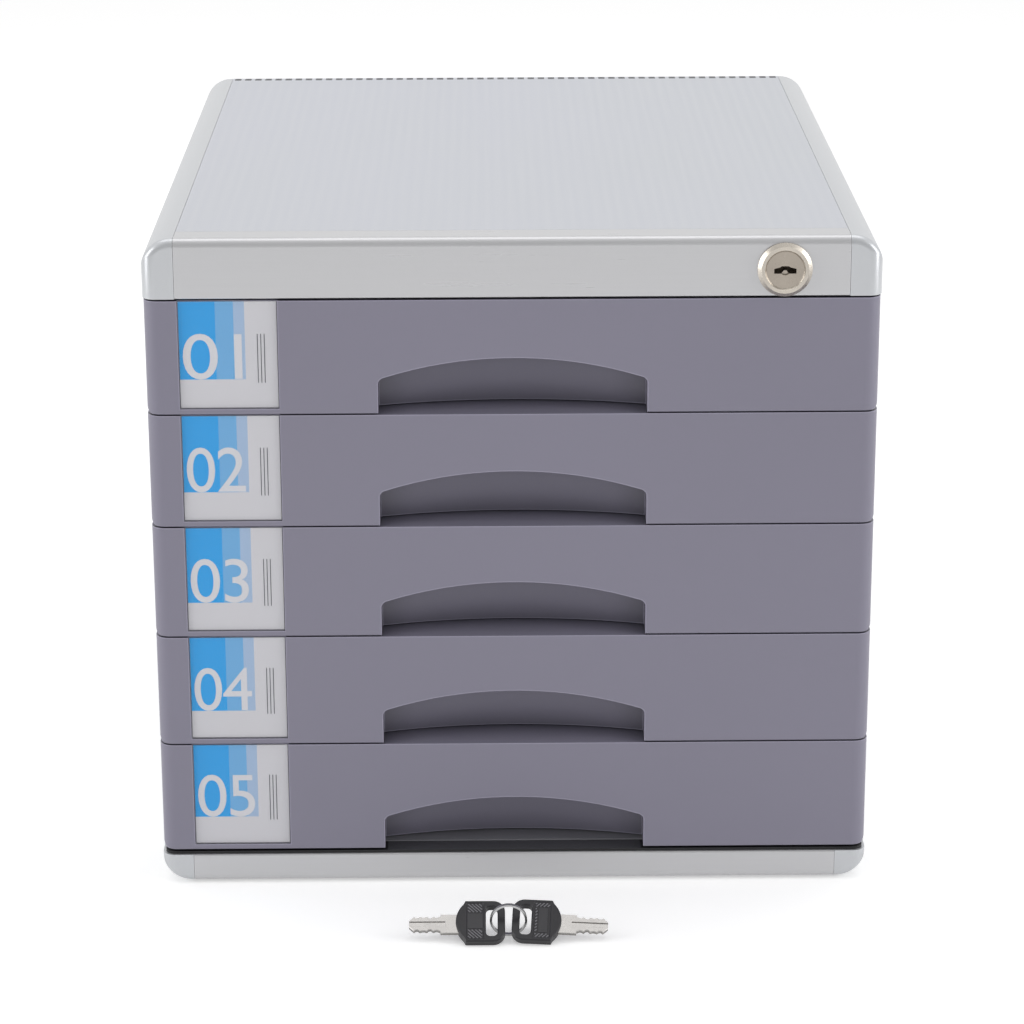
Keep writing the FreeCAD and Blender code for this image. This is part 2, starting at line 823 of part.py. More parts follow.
def pull_space(number):
    """The room for the fingers: an arch seen from the front, a shallow curve seen from above."""
    radius = "(pull_half * pull_half + pull_arch * pull_arch) / (2 * pull_arch)"
    arch_body = new_body(f"arch_body_{number}")
    arch = sketch_on(arch_body, f"arch_lines_{number}", "XZ_Plane", "cut_over")
    outline(arch, [
        ("-pull_half", "-cut_over"),
        ("pull_half", "-cut_over"),
        ("pull_half", "pull_side_height", radius, False),
        ("-pull_half", "pull_side_height"),
    ])
    pad(arch_body, f"arch_length_{number}", arch, "front_depth + cut_over", backwards=True)
    round_off(arch_body, f"arch_corner_{number}", "pull_corner", lambda edge: on_arch_corner(edge))
    deep = "(pull_mid_depth - pull_side_depth)"
    curve = f"(pull_half * pull_half + {deep} * {deep}) / (2 * {deep})"
    plan_body = new_body(f"plan_body_{number}")
    plan = sketch_on(plan_body, f"plan_lines_{number}", "XY_Plane", "-cut_over")
    outline(plan, [
        ("-pull_half", "-cut_over"),
        ("pull_half", "-cut_over"),
        ("pull_half", "pull_side_depth", curve, False),
        ("-pull_half", "pull_side_depth"),
    ])
    pad(plan_body, f"plan_length_{number}", plan, DRAWER_HEIGHT)
    return common(f"pull_space_{number}", arch_body, plan_body)


def on_arch_corner(edge):
    box = edge.BoundBox
    height = worth("pull_side_height")
    return (
        box.XLength < CLOSE_ENOUGH
        and box.ZLength < CLOSE_ENOUGH
        and abs(box.ZMin - height) < CLOSE_ENOUGH
    )


def drawer_front(number, rise):
    """The moulded front: hollow behind, rounded at its ends, with the label pocket and the finger pull."""
    body = new_body(f"front_body_{number}")
    lines = sketch_on(body, f"front_lines_{number}", "XY_Plane")
    outline(lines, [
        (f"-{FRONT_HALF}", "front_depth"),
        (f"-{FRONT_HALF}", "front_corner", "front_corner", False),
        (f"-{FRONT_HALF} + front_corner", "0"),
        (f"{FRONT_HALF} - front_corner", "0", "front_corner", False),
        (FRONT_HALF, "front_corner"),
        (FRONT_HALF, "front_depth"),
    ])
    pad(body, f"front_height_{number}", lines, DRAWER_HEIGHT)
    round_off(body, f"foot_edge_{number}", "fine_edge", lambda edge: at(edge, y="0", z="0"))
    for side, sign in (("left", "-1"), ("right", "1")):
        small = sketch_on(body, f"foot_corner_{side}_{number}", "XZ_Plane")
        edge_x = f"{sign} * {FRONT_HALF}"
        inward_x = f"{sign} * ({FRONT_HALF} - front_low_corner)"
        outline(small, [
            (edge_x, "0"),
            (edge_x, "front_low_corner", "front_low_corner", sign != "-1"),
            (inward_x, "0"),
        ])
        pocket(body, f"foot_corner_cut_{side}_{number}", small, "front_depth")
    hollow = sketch_on(body, f"hollow_lines_{number}", "XZ_Plane", "-front_wall")
    outline(hollow, box_corners(
        (f"-{FRONT_HALF} + front_wall", f"{FRONT_HALF} - front_wall"),
        ("front_wall", DRAWER_HEIGHT + " - front_wall"),
    ))
    pocket(body, f"hollow_{number}", hollow, "front_depth - front_wall")
    core = sketch_on(body, f"core_lines_{number}", "XZ_Plane", "-front_wall")
    around = "(pull_half * pull_half + pull_arch * pull_arch) / (2 * pull_arch)"
    outline(core, [
        ("-pull_half - front_wall", "front_wall"),
        ("pull_half + front_wall", "front_wall"),
        ("pull_half + front_wall", "pull_side_height + front_wall", around, False),
        ("-pull_half - front_wall", "pull_side_height + front_wall"),
    ])
    pad(body, f"core_{number}", core, "front_depth - front_wall", backwards=True)
    label = sketch_on(body, f"label_lines_{number}", "XZ_Plane")
    label_span = (f"-{LABEL_LEFT}", f"-{LABEL_LEFT} + label_width")
    outline(label, box_corners(label_span, ("label_rise", DRAWER_HEIGHT)))
    pocket(body, f"label_pocket_{number}", label, LABEL_DEPTH)
    front = cut(f"front_cut_{number}", body, pull_space(number))
    stand(front, z=rise)
    keep(front, f"drawer_{number}_front")


def drawer_tray(number, rise):
    """The open tray with its front plate, side lips, end-stop tabs and locking lug."""
    start = "front_depth + plate_sheet"
    outer = block(
        f"tray_outer_{number}",
        (f"-{TRAY_HALF}", TRAY_HALF),
        (start, TRAY_END),
        ("tray_rise", f"tray_rise + {TRAY_HEIGHT}"),
    )
    inner = block(
        f"tray_inner_{number}",
        (f"-{TRAY_HALF} + tray_wall", f"{TRAY_HALF} - tray_wall"),
        (f"{start} + tray_wall", f"{TRAY_END} - tray_wall"),
        ("tray_rise + tray_wall", f"tray_rise + {TRAY_HEIGHT} + cut_over"),
    )
    outer_round = soften(f"tray_outer_round_{number}", outer, "tray_corner", on_tray_back)
    inner_round = soften(f"tray_inner_round_{number}", inner, "tray_corner - tray_wall", upright)
    shell = cut(f"tray_shell_{number}", outer_round, inner_round)
    plate_half = f"({FRONT_HALF} - plate_side_gap)"
    plate = block(
        f"tray_plate_{number}",
        (f"-{plate_half}", plate_half),
        ("front_depth", start),
        ("plate_rise", DRAWER_HEIGHT + " - plate_rise"),
    )
    pieces = [shell, plate]
    level = (LIP_RISE, LIP_RISE + " + lip_sheet")
    overlap = "tray_wall / 2"
    tab_start = f"runner_start + stop_length + stop_play + {TRAVEL}"
    for side, sign in (("left", -1), ("right", 1)):
        for name, reach, along in (
            ("lip", "lip_reach", ("lip_start", f"{TRAY_END} - tray_corner")),
            ("tab", "lip_reach + tab_reach", (tab_start, f"{tab_start} + tab_length")),
        ):
            span = (f"{TRAY_HALF} - {overlap}", f"{TRAY_HALF} + {reach}")
            if sign < 0:
                span = (f"-({span[1]})", f"-({span[0]})")
            pieces.append(block(f"{name}_{side}_{number}", span, along, level))
    pieces.append(block(
        f"lug_{number}",
        (f"{TRAY_HALF} - {overlap}", f"{TRAY_HALF} + lip_reach"),
        ("lug_start", "lug_start + lug_length"),
        ("lug_rise", "lug_rise + lug_height"),
    ))
    tray = join(f"tray_pieces_{number}", pieces)
    stand(tray, z=rise)
    keep(tray, f"drawer_{number}_tray")


def on_tray_back(edge):
    return upright(edge) and edge.BoundBox.YMin > worth(TRAY_END) - CLOSE_ENOUGH


def label_parts(number, rise):
    """The printed card and the clear window that holds it in the front's pocket."""
    left = f"-{LABEL_LEFT} + label_play"
    right = f"-{LABEL_LEFT} + label_width - label_play"
    body = new_body(f"window_body_{number}")
    lines = sketch_on(body, f"window_lines_{number}", "XY_Plane", "label_rise + label_play")
    outline(lines, [
        (left, "0"),
        (f"{right} - window_bevel", "0"),
        (right, "window_bevel_drop"),
        (right, "window_sheet"),
        (left, "window_sheet"),
    ])
    pad(body, f"window_height_{number}", lines, DRAWER_HEIGHT + " - label_rise - 2 * label_play")
    stand(body, z=rise)
    keep(body, f"drawer_{number}_label_window")
    card = block(
        f"card_{number}",
        (f"{left} + label_play", f"{right} - label_play"),
        ("window_sheet", LABEL_DEPTH),
        ("label_rise + 2 * label_play", DRAWER_HEIGHT + " - 2 * label_play"),
    )
    bind(card, "Placement.Base.y", "window_sheet - depth / 2")
    bind(card, "Placement.Base.z", f"label_rise + 2 * label_play + {rise}")
    keep(card, f"drawer_{number}_label_card")


def drawer(number):
    """One drawer, counted from the top."""
    rise = drawer_rise(DRAWERS - number)
    drawer_front(number, rise)
    drawer_tray(number, rise)
    label_parts(number, rise)


# The keys

def place_key(item, number):
    """Leans a key back on its lower edge; the second one hangs lower at its tip and closer in."""
    lean = FreeCAD.Rotation(FreeCAD.Vector(1, 0, 0), KEY_TILT)
    flip = FreeCAD.Rotation(FreeCAD.Vector(0, 1, 0), FULL_TURN / 2 if number == 1 else 0)
    roll = FreeCAD.Rotation(FreeCAD.Vector(0, 0, 1), 0 if number == 1 else -KEY_ROLL)
    item.Placement = FreeCAD.Placement(FreeCAD.Vector(), lean.multiply(flip).multiply(roll))
    lift = "0" if number == 1 else "key_lift"
    draw = "0" if number == 1 else "key_draw"
    bind(item, "Placement.Base.x", f"key_x - {draw}")
    bind(item, "Placement.Base.y", f"-depth / 2 - key_ahead + {lift} * cos({KEY_TILT})")
    bind(item, "Placement.Base.z", f"head_sheet / 2 * cos({KEY_TILT}) + {lift} * sin({KEY_TILT})")


def on_head_face(edge):
    """Is this an edge of one of the two broad faces of a key's head?"""
    half = worth("head_sheet") / 2
    return abs(abs(edge.BoundBox.Center.z) - half) < CLOSE_ENOUGH


def key_head(number):
    """The plastic head with the slot for the ring."""
    body = new_body(f"head_body_{number}")
    lines = sketch_on(body, f"head_lines_{number}", "XY_Plane")
    outline(lines, box_corners(("head_gap", "head_gap + head_length"), ("0", "head_width")))
    pad(body, f"head_sheet_{number}", lines, "head_sheet", both_ways=True)
    round_off(body, f"head_corners_{number}", "head_corner", upright)
    round_off(body, f"head_soft_{number}", "head_soft", on_head_face)
    middle = "head_gap + hole_centre"
    low = "head_width / 2 - hole_length / 2 + hole_width / 2"
    high = "head_width / 2 + hole_length / 2 - hole_width / 2"
    slot = sketch_on(body, f"slot_lines_{number}", "XY_Plane", "head_sheet / 2")
    outline(slot, box_corners((f"{middle} - hole_width / 2", f"{middle} + hole_width / 2"), (low, high)))
    pocket(body, f"slot_{number}", slot, "head_sheet")
    ends = sketch_on(body, f"slot_end_lines_{number}", "XY_Plane", "head_sheet / 2")
    ring_in(ends, middle, low, "hole_width / 2")
    ring_in(ends, middle, high, "hole_width / 2")
    pocket(body, f"slot_ends_{number}", ends, "head_sheet")
    place_key(body, number)
    keep(body, f"key_{number}_head")


def key_blade(number):
    """The flat metal blade with its shank, cuts and groove."""
    body = new_body(f"blade_body_{number}")
    start = "(head_gap + head_length)"
    middle = "head_width / 2"
    low = f"{middle} - blade_width / 2"
    high = f"{middle} + blade_width / 2"
    corners = [
        (start, f"{middle} - shank_width / 2"),
        (f"{start} + shank_length", f"{middle} - shank_width / 2"),
        (f"{start} + shank_length", low),
    ]
    for index in range(KEY_NOTCHES):
        near = f"{start} + shank_length + notch_start + {index} * notch_pitch"
        corners += [
            (near, low),
            (f"{near} + notch_width / 2", f"{low} + notch_depth"),
            (f"{near} + notch_width", low),
        ]
    corners += [
        (f"{start} + blade_length - blade_tip", low),
        (f"{start} + blade_length", middle),
        (f"{start} + blade_length - blade_tip", high),
        (f"{start} + shank_length", high),
        (f"{start} + shank_length", f"{middle} + shank_width / 2"),
        (start, f"{middle} + shank_width / 2"),
    ]
    lines = sketch_on(body, f"blade_lines_{number}", "XY_Plane")
    outline(lines, corners)
    pad(body, f"blade_sheet_{number}", lines, "blade_sheet", both_ways=True)
    groove = sketch_on(body, f"groove_lines_{number}", "XY_Plane", "blade_sheet / 2")
    outline(groove, box_corners(
        (f"{start} + shank_length", f"{start} + blade_length"),
        (f"{middle} + groove_rise", f"{middle} + groove_rise + groove_width"),
    ))
    pocket(body, f"groove_{number}", groove, "groove_depth")
    place_key(body, number)
    keep(body, f"key_{number}_blade")


def key_ring():
    """The split ring, standing through the slots of both heads."""
    ring = doc.addObject("Part::Torus", "ring_wire_loop")
    bind(ring, "Radius1", "ring_radius")
    bind(ring, "Radius2", "ring_wire")
    ring.Placement = FreeCAD.Placement(
        FreeCAD.Vector(), FreeCAD.Rotation(FreeCAD.Vector(1, 0, 0), RING_TILT)
    )
    bind(ring, "Placement.Base.x", "key_x")
    bind(ring, "Placement.Base.y", f"-depth / 2 - key_ahead + ring_up * cos({KEY_TILT})")
    bind(ring, "Placement.Base.z", f"head_sheet / 2 * cos({KEY_TILT}) + ring_up * sin({KEY_TILT})")
    keep(ring, "key_ring")


def write_parts():
    """Checks each sub-part and writes it to its own file."""
    doc.recompute()
    for item in doc.Objects:
        if "Invalid" in item.State or "Error" in item.State:
            raise RuntimeError(item.Name + " did not compute")
    os.makedirs("parts", exist_ok=True)
    for item in kept:
        if item.Shape.isNull() or not item.Shape.isValid():
            raise RuntimeError(item.Label + " has no valid shape")
        item.Shape.exportStep(os.path.join("parts", item.Label + ".step"))
        print(item.Label, len(item.Shape.Solids), round(item.Shape.Volume), item.Shape.BoundBox)


fill_sheet()
side_frame()
top_front_rail()
bottom_front_rail()
covers()
back_panel()
feet()
runner_frames()
lock_housing()
lock_nut()
lock_plug()
lock_cam()
lock_bar()
bar_guides()
for number in range(1, DRAWERS + 1):
    drawer(number)
for number in (1, 2):
    key_head(number)
    key_blade(number)
key_ring()
write_parts()
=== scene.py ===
import json
import math

import bmesh
import bpy
from mathutils import Matrix, Vector

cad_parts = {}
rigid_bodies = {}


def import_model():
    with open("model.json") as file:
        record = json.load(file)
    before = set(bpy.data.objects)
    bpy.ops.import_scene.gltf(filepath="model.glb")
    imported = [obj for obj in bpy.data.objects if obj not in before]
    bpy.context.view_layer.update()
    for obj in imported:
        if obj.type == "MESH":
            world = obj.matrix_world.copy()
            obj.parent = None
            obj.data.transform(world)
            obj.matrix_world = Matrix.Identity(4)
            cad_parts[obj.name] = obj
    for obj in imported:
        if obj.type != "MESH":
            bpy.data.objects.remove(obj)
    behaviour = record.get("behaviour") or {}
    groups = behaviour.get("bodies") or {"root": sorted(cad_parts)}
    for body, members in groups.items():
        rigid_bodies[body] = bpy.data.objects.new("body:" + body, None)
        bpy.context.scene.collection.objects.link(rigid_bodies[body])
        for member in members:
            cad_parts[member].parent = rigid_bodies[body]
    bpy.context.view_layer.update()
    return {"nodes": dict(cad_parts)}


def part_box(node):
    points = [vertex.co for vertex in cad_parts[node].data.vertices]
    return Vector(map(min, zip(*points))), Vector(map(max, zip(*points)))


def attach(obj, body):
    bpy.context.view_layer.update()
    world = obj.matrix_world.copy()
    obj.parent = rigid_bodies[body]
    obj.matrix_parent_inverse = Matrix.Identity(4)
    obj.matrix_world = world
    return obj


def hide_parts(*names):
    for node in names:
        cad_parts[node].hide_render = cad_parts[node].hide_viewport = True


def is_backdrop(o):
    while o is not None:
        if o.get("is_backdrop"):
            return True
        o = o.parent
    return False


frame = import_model()
nodes = frame["nodes"]

MM = 0.001
DRAWERS = 5
KEYS = 2

# The camera, at the photograph's viewing angle.
CAMERA_PLACE = Vector((-0.01145, -1.4816, 0.58957))
CAMERA_YAW = 0.008387
CAMERA_PITCH = math.radians(17.954)
CAMERA_ROLL = -0.003618
CAMERA_LENS = 117.06
SENSOR = 36
NEAR_CLIP = 0.01
FAR_CLIP = 60

# The floor: its size, how pale it is, and how much of it shines by itself.
FLOOR_HALF = 14
FLOOR_SHADE = 0.86
FLOOR_UNEVEN = 0.01
FLOOR_CELLS = 40
FLOOR_ROUGH = 0.9
FLOOR_LIFT = 0.36

# The sky's light, its strength in reflections from the front, and where that grows to one.
SKY_LIGHT = 0.62
SKY_GLOSS_FRONT = 0.5
SKY_TURN = (-0.75, -0.15)

# The lamps: name, place, size in metres and power in watts.
LAMP_AIM = (0, 0, 0.15)
LAMPS = (
    ("lamp_over", (0, 0.3, 2.2), (2.4, 1.2), 11),
    ("lamp_left", (-2.2, -0.75, 0.85), (1.0, 1.6), 16),
    ("lamp_right", (2.2, -0.75, 0.85), (1.0, 1.6), 17),
)

# The range that one cloud of noise fills, and the sum of two.
CLOUD_RANGE = (0.3, 0.7)
SUM_RANGE = (0.7, 1.3)

# The rays sent out by the mask of edges and by the mask of hollows that paints shade.
MASK_SAMPLES = 6

# Colours as they look on screen, from 0 to 255.
SIDE_COLOUR = (196, 198, 201)
RAIL_COLOUR = (197, 197, 199)
TOP_COLOUR = (198, 200, 208)
TOP_CLOUD_COLOUR = (196, 199, 202)
# Painted shade in the open flute cells at the top sheet's back edge.
FLUTE_SHADE_COLOUR = (72, 73, 78)
WINDOW_DARK = (222, 224, 230)
WINDOW_LIGHT = (236, 238, 242)
PAPER_COLOUR = (212, 211, 216)
NUMBER_COLOUR = (218, 218, 223)
INK_COLOUR = (70, 72, 80)

# The depth of the fine relief on each surface.
SIDE_GRAIN = 0.0015 * MM
RAIL_GRAIN = 0.004 * MM
TOP_GRAIN = 0.003 * MM
TOP_RIB_DEPTH = 0.01 * MM
WINDOW_GRAIN = 0.01 * MM
PAPER_GRAIN = 0.01 * MM

# How far from a sharp edge each surface is lightened, partly as rubbed wear and partly as a painted
# highlight; on the window, as a painted highlight only.
SIDE_WEAR_AND_HIGHLIGHT = 0.7 * MM
RAIL_WEAR_AND_HIGHLIGHT = 0.5 * MM
PLASTIC_WEAR_AND_HIGHLIGHT = 0.5 * MM
METAL_WEAR_AND_HIGHLIGHT = 0.35 * MM
WINDOW_HIGHLIGHT_EDGE = 0.6 * MM

# The lines of the top sheet, and its flutes, which are open at the back edge, where their open cells are
# darkened with painted shade.
WAVE_PERIOD = math.pi / 10
FLUTE_PITCH = 5.05 * MM
FLUTE_DEPTH = 5 * MM
FLUTE_OPEN_OVER = 0.3
FLUTE_WEIGHT = 0.35
LINE_RANGE = (0.4, 1.0)

# Painted shade in the hollows of a plastic piece: the range of openness over which it darkens them, and the
# shaded colour's share.
PAINTED_SHADE_RANGE = (0.2, 0.85)
PAINTED_SHADE_SHARE = 0.3

# The moulded plastics, with colours as on screen. The front gets painted shade in hollows as deep as its
# entry says.
PLASTICS = {
    # The front's edges are lightened strongly: a painted highlight along its lower edge and round the pull,
    # with some rubbed wear.
    "front_violet_grey": dict(
        colour=(133, 130, 146), rough=0.36, grain=0.01 * MM, edge=1.8, wear_and_highlight=0.9 * MM, painted_shade_reach=15 * MM,
    ),
    "tray_grey": dict(colour=(150, 149, 156), rough=0.5, grain=0.012 * MM),
    "inner_dark": dict(colour=(52, 52, 56), rough=0.55, grain=0.015 * MM),
    "liner_dark": dict(colour=(128, 128, 133), rough=0.5, grain=0.01 * MM),
    # The liner's black and grey entries are shaded and lit copies of one sheet: painted shade and painted
    # light.
    "liner_painted_shade_black": dict(colour=(26, 26, 29), rough=0.6, grain=0.01 * MM),
    "liner_painted_lit_grey": dict(colour=(68, 68, 72), rough=0.5, grain=0.01 * MM),
    "back_grey": dict(colour=(150, 151, 154), rough=0.5, grain=0.01 * MM),
    "foot_rubber_black": dict(colour=(34, 34, 36), rough=0.75, grain=0.03 * MM, cell=1500, edge=1.3),
    "key_black": dict(colour=(31, 30, 34), rough=0.42, grain=0.01 * MM, cell=1800, edge=1.8),
    # The key's ribs are grey: a painted highlight on the crests of the black head's ribs.
    "key_rib_highlight_grey": dict(colour=(108, 107, 112), rough=0.3, grain=0.01 * MM, cell=1800, edge=1.3),
    "key_plate_black": dict(colour=(42, 41, 45), rough=0.35, grain=0.01 * MM, cell=1800, edge=1.8),
}

# The plated metals, with linear colours.
METALS = {
    "lock_nickel": dict(colour=(0.56, 0.515, 0.455, 1), rough=0.26, cell=2400, grain=0.004 * MM, turned=0.75),
    "plug_nickel": dict(colour=(0.4, 0.355, 0.305, 1), rough=0.3, cell=2400, grain=0.004 * MM, turned=0.4),
    "lock_steel": dict(colour=(0.5, 0.5, 0.49, 1), rough=0.38, cell=1800, grain=0.006 * MM),
    "ring_wire_steel": dict(colour=(0.5, 0.5, 0.5, 1), rough=0.2, cell=2400, grain=0.003 * MM),
    "key_nickel": dict(colour=(0.47, 0.455, 0.44, 1), rough=0.28, cell=2400, grain=0.004 * MM),
}

# The label cards: how far across each stripe ends, and how far up the striped field starts.
STRIPE_SHARES = (
    (0.3745, (38, 162, 234)),
    (0.5607, (112, 176, 226)),
    (0.673, (166, 190, 220)),
)
FIELD_LOW_SHARE = 0.268

# How thick the printed sheet and the print on it are, and the gap behind each.
PRINT_SHEET = 0.03 * MM
PRINT_GAP = 0.03 * MM

# The number on a card: its left, right, low and high ends, and how its glyphs are made.
NUMBER_SHARES = (0.035, 0.64, 0.268, 0.70)
NUMBER_SIZE = 20 * MM
NUMBER_SPACING = 0.95
NUMBER_STEPS = 6

# The upright lines to write on, across and up the card.
LINE_SHARES = (0.80, 0.835, 0.87)
LINE_LOW_SHARE = 0.235
LINE_HIGH_SHARE = 0.696
LINE_HALF = 0.15 * MM

# How the keys lean on the table, and where key 1's lower edge lies.
KEY_TILT = math.radians(33)
KEY_X = -3 * MM
KEY_Y = -239 * MM

# Key 2 is turned a little. It lies so much higher up the lean and further left than key 1.
KEY_ROLL = math.radians(3.5)
KEY_LIFT = 1.07 * MM
KEY_DRAW = 0.5 * MM

# The keys' heads, along the key from the middle of the ring, and up from the lower edge.
HEAD_GAP = 1.4 * MM
HEAD_LENGTH = 20.3 * MM
HEAD_WIDTH = 19.6 * MM
HEAD_HALF_SHEET = 1.8 * MM
HEAD_CORNER = 5 * MM
HEAD_BOW = 3.2 * MM
HEAD_CUT = 1.6 * MM
HEAD_BEVEL = 0.45 * MM
HEAD_END = HEAD_GAP + HEAD_LENGTH
SLOT_MIDDLE = 6.9 * MM
SLOT_WIDTH = 4.8 * MM
SLOT_LENGTH = 14 * MM
SLOT_CORNER = 1.8 * MM

# The shallow panel of a head, and the plain plate of each key in it: left, under, right and over.
PANEL = (10.6 * MM, 1.4 * MM, 16.9 * MM, 18.2 * MM)
PANEL_DEPTH = 0.35 * MM
KEY_PLATES = {
    1: (10.6 * MM, 6.3 * MM, 16.9 * MM, 13.4 * MM),
    2: (12.3 * MM, 4.0 * MM, 15.9 * MM, 15.6 * MM),
}
PLATE_RIM = 0.4 * MM

# The ribs in the panels. A rib shorter than the least length is left out.
RIB_PITCH = 1.5 * MM
RIB_HALF = 0.28 * MM
RIB_TOP_SHARE = 0.6
RIB_LEAST = 0.6 * RIB_PITCH

# The keys' blades.
BLADE_MIDDLE = 9 * MM
BLADE_HALF_SHEET = 1 * MM
BLADE_HALF_WIDTH = 3.4 * MM
BLADE_LENGTH = 19.2 * MM
BLADE_TIP = 2 * MM
BLADE_TIP_HALF = 1.4 * MM
BLADE_BEVEL = 0.1 * MM
SHANK_HALF_WIDTH = 4.4 * MM
SHANK_LENGTH = 6.3 * MM
NOTCH_START = 0.4 * MM
NOTCH_PITCH = 2.7 * MM
NOTCH_WIDTH = 2.4 * MM
NOTCH_FLAT = 0.8 * MM
NOTCH_DEPTH = 0.8 * MM
NOTCH_SHARES = (0.55, 1, 0.4, 0.8)
GROOVE_START = 2 * MM
GROOVE_HALF_WIDTH = 1.1 * MM
GROOVE_DEPTH = 0.5 * MM

# The split ring of flat wire.
RING_RADIUS = 7.7 * MM
RING_BAND = 0.9 * MM
RING_BREADTH = 1.4 * MM
RING_SEAM = 0.25 * MM
RING_TILT = math.radians(100)
RING_STEPS = 72

# The dark sheet over the low rail.
LINER_LOW = 13.4 * MM
LINER_STEP = 14.6 * MM
LINER_HIGH = 15.1 * MM
LINER_FRONT = -173.8 * MM
LINER_STEP_Y = -164.6 * MM
LINER_BACK = -149 * MM
LINER_SIDE = 148.8 * MM
LINER_CORNER = 4.3 * MM
LINER_MOUTH = 54 * MM

# The small step that keeps two faces from coinciding.
APART = 0.03 * MM

# The rounding of the side frames' front outer edges.
BLOCK_EDGE = 5.5 * MM

# The straight pieces of an arc.
ARC_STEPS = 8
BOW_STEPS = 16

# Faces that meet at a flatter turn than this are shaded as one round face.
SMOOTH_ANGLE = math.radians(32)

# The least share of a normal along one axis at which a face of a cut side counts as flat.
FLAT_SHARE = 0.9998


# Building materials

class Finish:
    """A material whose nodes are added one after another."""

    def __init__(self, name):
        self.material = bpy.data.materials.new(name)
        self.material.use_nodes = True
        self.tree = self.material.node_tree
        self.shader = self.tree.nodes["Principled BSDF"]
        self.place = self.add("ShaderNodeTexCoord").outputs["Object"]

    def add(self, kind, settings=None, **sockets):
        """A node with its settings and the values or links of its sockets."""
        node = self.tree.nodes.new(kind)
        for key, value in (settings or {}).items():
            setattr(node, key, value)
        for key, value in sockets.items():
            self.feed(node.inputs[key.replace("_", " ")], value)
        return node

    def feed(self, socket, value):
        """Links a socket to another one, or sets it to a plain value."""
        if isinstance(value, bpy.types.NodeSocket):
            self.tree.links.new(value, socket)
        else:
            socket.default_value = value

    def put(self, name, value):
        """Sets or links a socket of the shader itself."""
        self.feed(self.shader.inputs[name], value)

    def stretched(self, scale):
        """The object's own coordinates, scaled along each axis."""
        node = self.add("ShaderNodeVectorMath", {"operation": "MULTIPLY"})
        self.feed(node.inputs[0], self.place)
        node.inputs[1].default_value = scale
        return node.outputs["Vector"]

    def noise(self, scale, detail=3.0, stretch=(1, 1, 1)):
        """A cloud between 0 and 1, with its cells one metre over scale across."""
        node = self.add("ShaderNodeTexNoise", Vector=self.stretched(stretch), Scale=scale, Detail=detail)
        return node.outputs["Fac"]

    def between(self, value, low, high, from_range=CLOUD_RANGE):
        """Spreads a value over a new range."""
        node = self.add("ShaderNodeMapRange", Value=value)
        from_low, from_high = from_range
        self.feed(node.inputs["From Min"], from_low)
        self.feed(node.inputs["From Max"], from_high)
        self.feed(node.inputs["To Min"], low)
        self.feed(node.inputs["To Max"], high)
        return node.outputs["Result"]

    def math(self, operation, one, two):
        """Arithmetic on two values."""
        node = self.add("ShaderNodeMath", {"operation": operation})
        self.feed(node.inputs[0], one)
        self.feed(node.inputs[1], two)
        return node.outputs["Value"]

    def lerp(self, share, one, two):
        """A value between two values."""
        node = self.add("ShaderNodeMix", {"data_type": "FLOAT"})
        self.feed(node.inputs["Factor"], share)
        self.feed(node.inputs[2], one)
        self.feed(node.inputs[3], two)
        return node.outputs[0]

    def blend(self, share, one, two):
        """A colour between two colours."""
        node = self.add("ShaderNodeMix", {"data_type": "RGBA"})
        self.feed(node.inputs["Factor"], share)
        self.feed(node.inputs[6], one)
        self.feed(node.inputs[7], two)
        return node.outputs[2]

    def tinted(self, share, colour, dark, light):
        """A colour that turns from a darker to a lighter one as the share grows."""
        return self.blend(share, scaled(colour, dark), scaled(colour, light))

    def edges(self, radius, gain):
        """A mask that is high where the surface turns sharply."""
        soft = self.add("ShaderNodeBevel", {"samples": MASK_SAMPLES}, Radius=radius)
        true = self.add("ShaderNodeNewGeometry")
        dot = self.add("ShaderNodeVectorMath", {"operation": "DOT_PRODUCT"})
        self.feed(dot.inputs[0], soft.outputs["Normal"])
        self.feed(dot.inputs[1], true.outputs["Normal"])
        turn = self.math("SUBTRACT", 1.0, dot.outputs["Value"])
        node = self.add("ShaderNodeMath", {"operation": "MULTIPLY", "use_clamp": True})
        self.feed(node.inputs[0], turn)
        node.inputs[1].default_value = gain
        return node.outputs["Value"]

    def put_wear_and_highlight(self, base, colour, wear_and_highlight, gain, edge):
        """The base, with a lighter or darker colour at its edges: partly rubbed wear, partly a painted
        highlight.
        """
        self.put("Base Color", self.blend(self.edges(wear_and_highlight, gain), base, scaled(colour, edge)))

    def put_roughness(self, one, two, low, high):
        """Roughness from low to high, by the sum of two clouds of noise."""
        self.put("Roughness", self.between(self.math("ADD", one, two), low, high, SUM_RANGE))

    def relief(self, height, depth, under=None):
        """A bump of so many metres, over another bump if there is one."""
        node = self.add("ShaderNodeBump", Height=height, Distance=depth, Strength=1.0)
        if under is not None:
            self.feed(node.inputs["Normal"], under)
        return node.outputs["Normal"]


def shade(red, green, blue):
    """A colour written as it looks on screen, from 0 to 255, made linear by the usual screen curve."""
    def linear(value):
        part = value / 255
        return part / 12.92 if part <= 0.04045 else ((part + 0.055) / 1.055) ** 2.4
    return (linear(red), linear(green), linear(blue), 1.0)


def scaled(colour, factor):
    """The same colour, lighter or darker."""
    return tuple(min(part * factor, 1.0) for part in colour[:3]) + (1.0,)


def side_frame_paint():
    """The two sides: silver paint with a fine flake, a little uneven, lighter at its edges as rubbed wear and
    as a painted highlight.
    """
    finish = Finish("side_frame_silver")
    colour = shade(*SIDE_COLOUR)
    cloud = finish.noise(scale=7)
    base = finish.tinted(cloud, colour, dark=0.96, light=1.04)
    finish.put_wear_and_highlight(base, colour, SIDE_WEAR_AND_HIGHLIGHT, gain=3, edge=1.12)
    finish.put("Metallic", 0.5)
    speck = finish.noise(scale=700, detail=1)
    finish.put_roughness(speck, cloud, low=0.295, high=0.315)
    finish.put("Normal", finish.relief(speck, SIDE_GRAIN))
    return finish.material


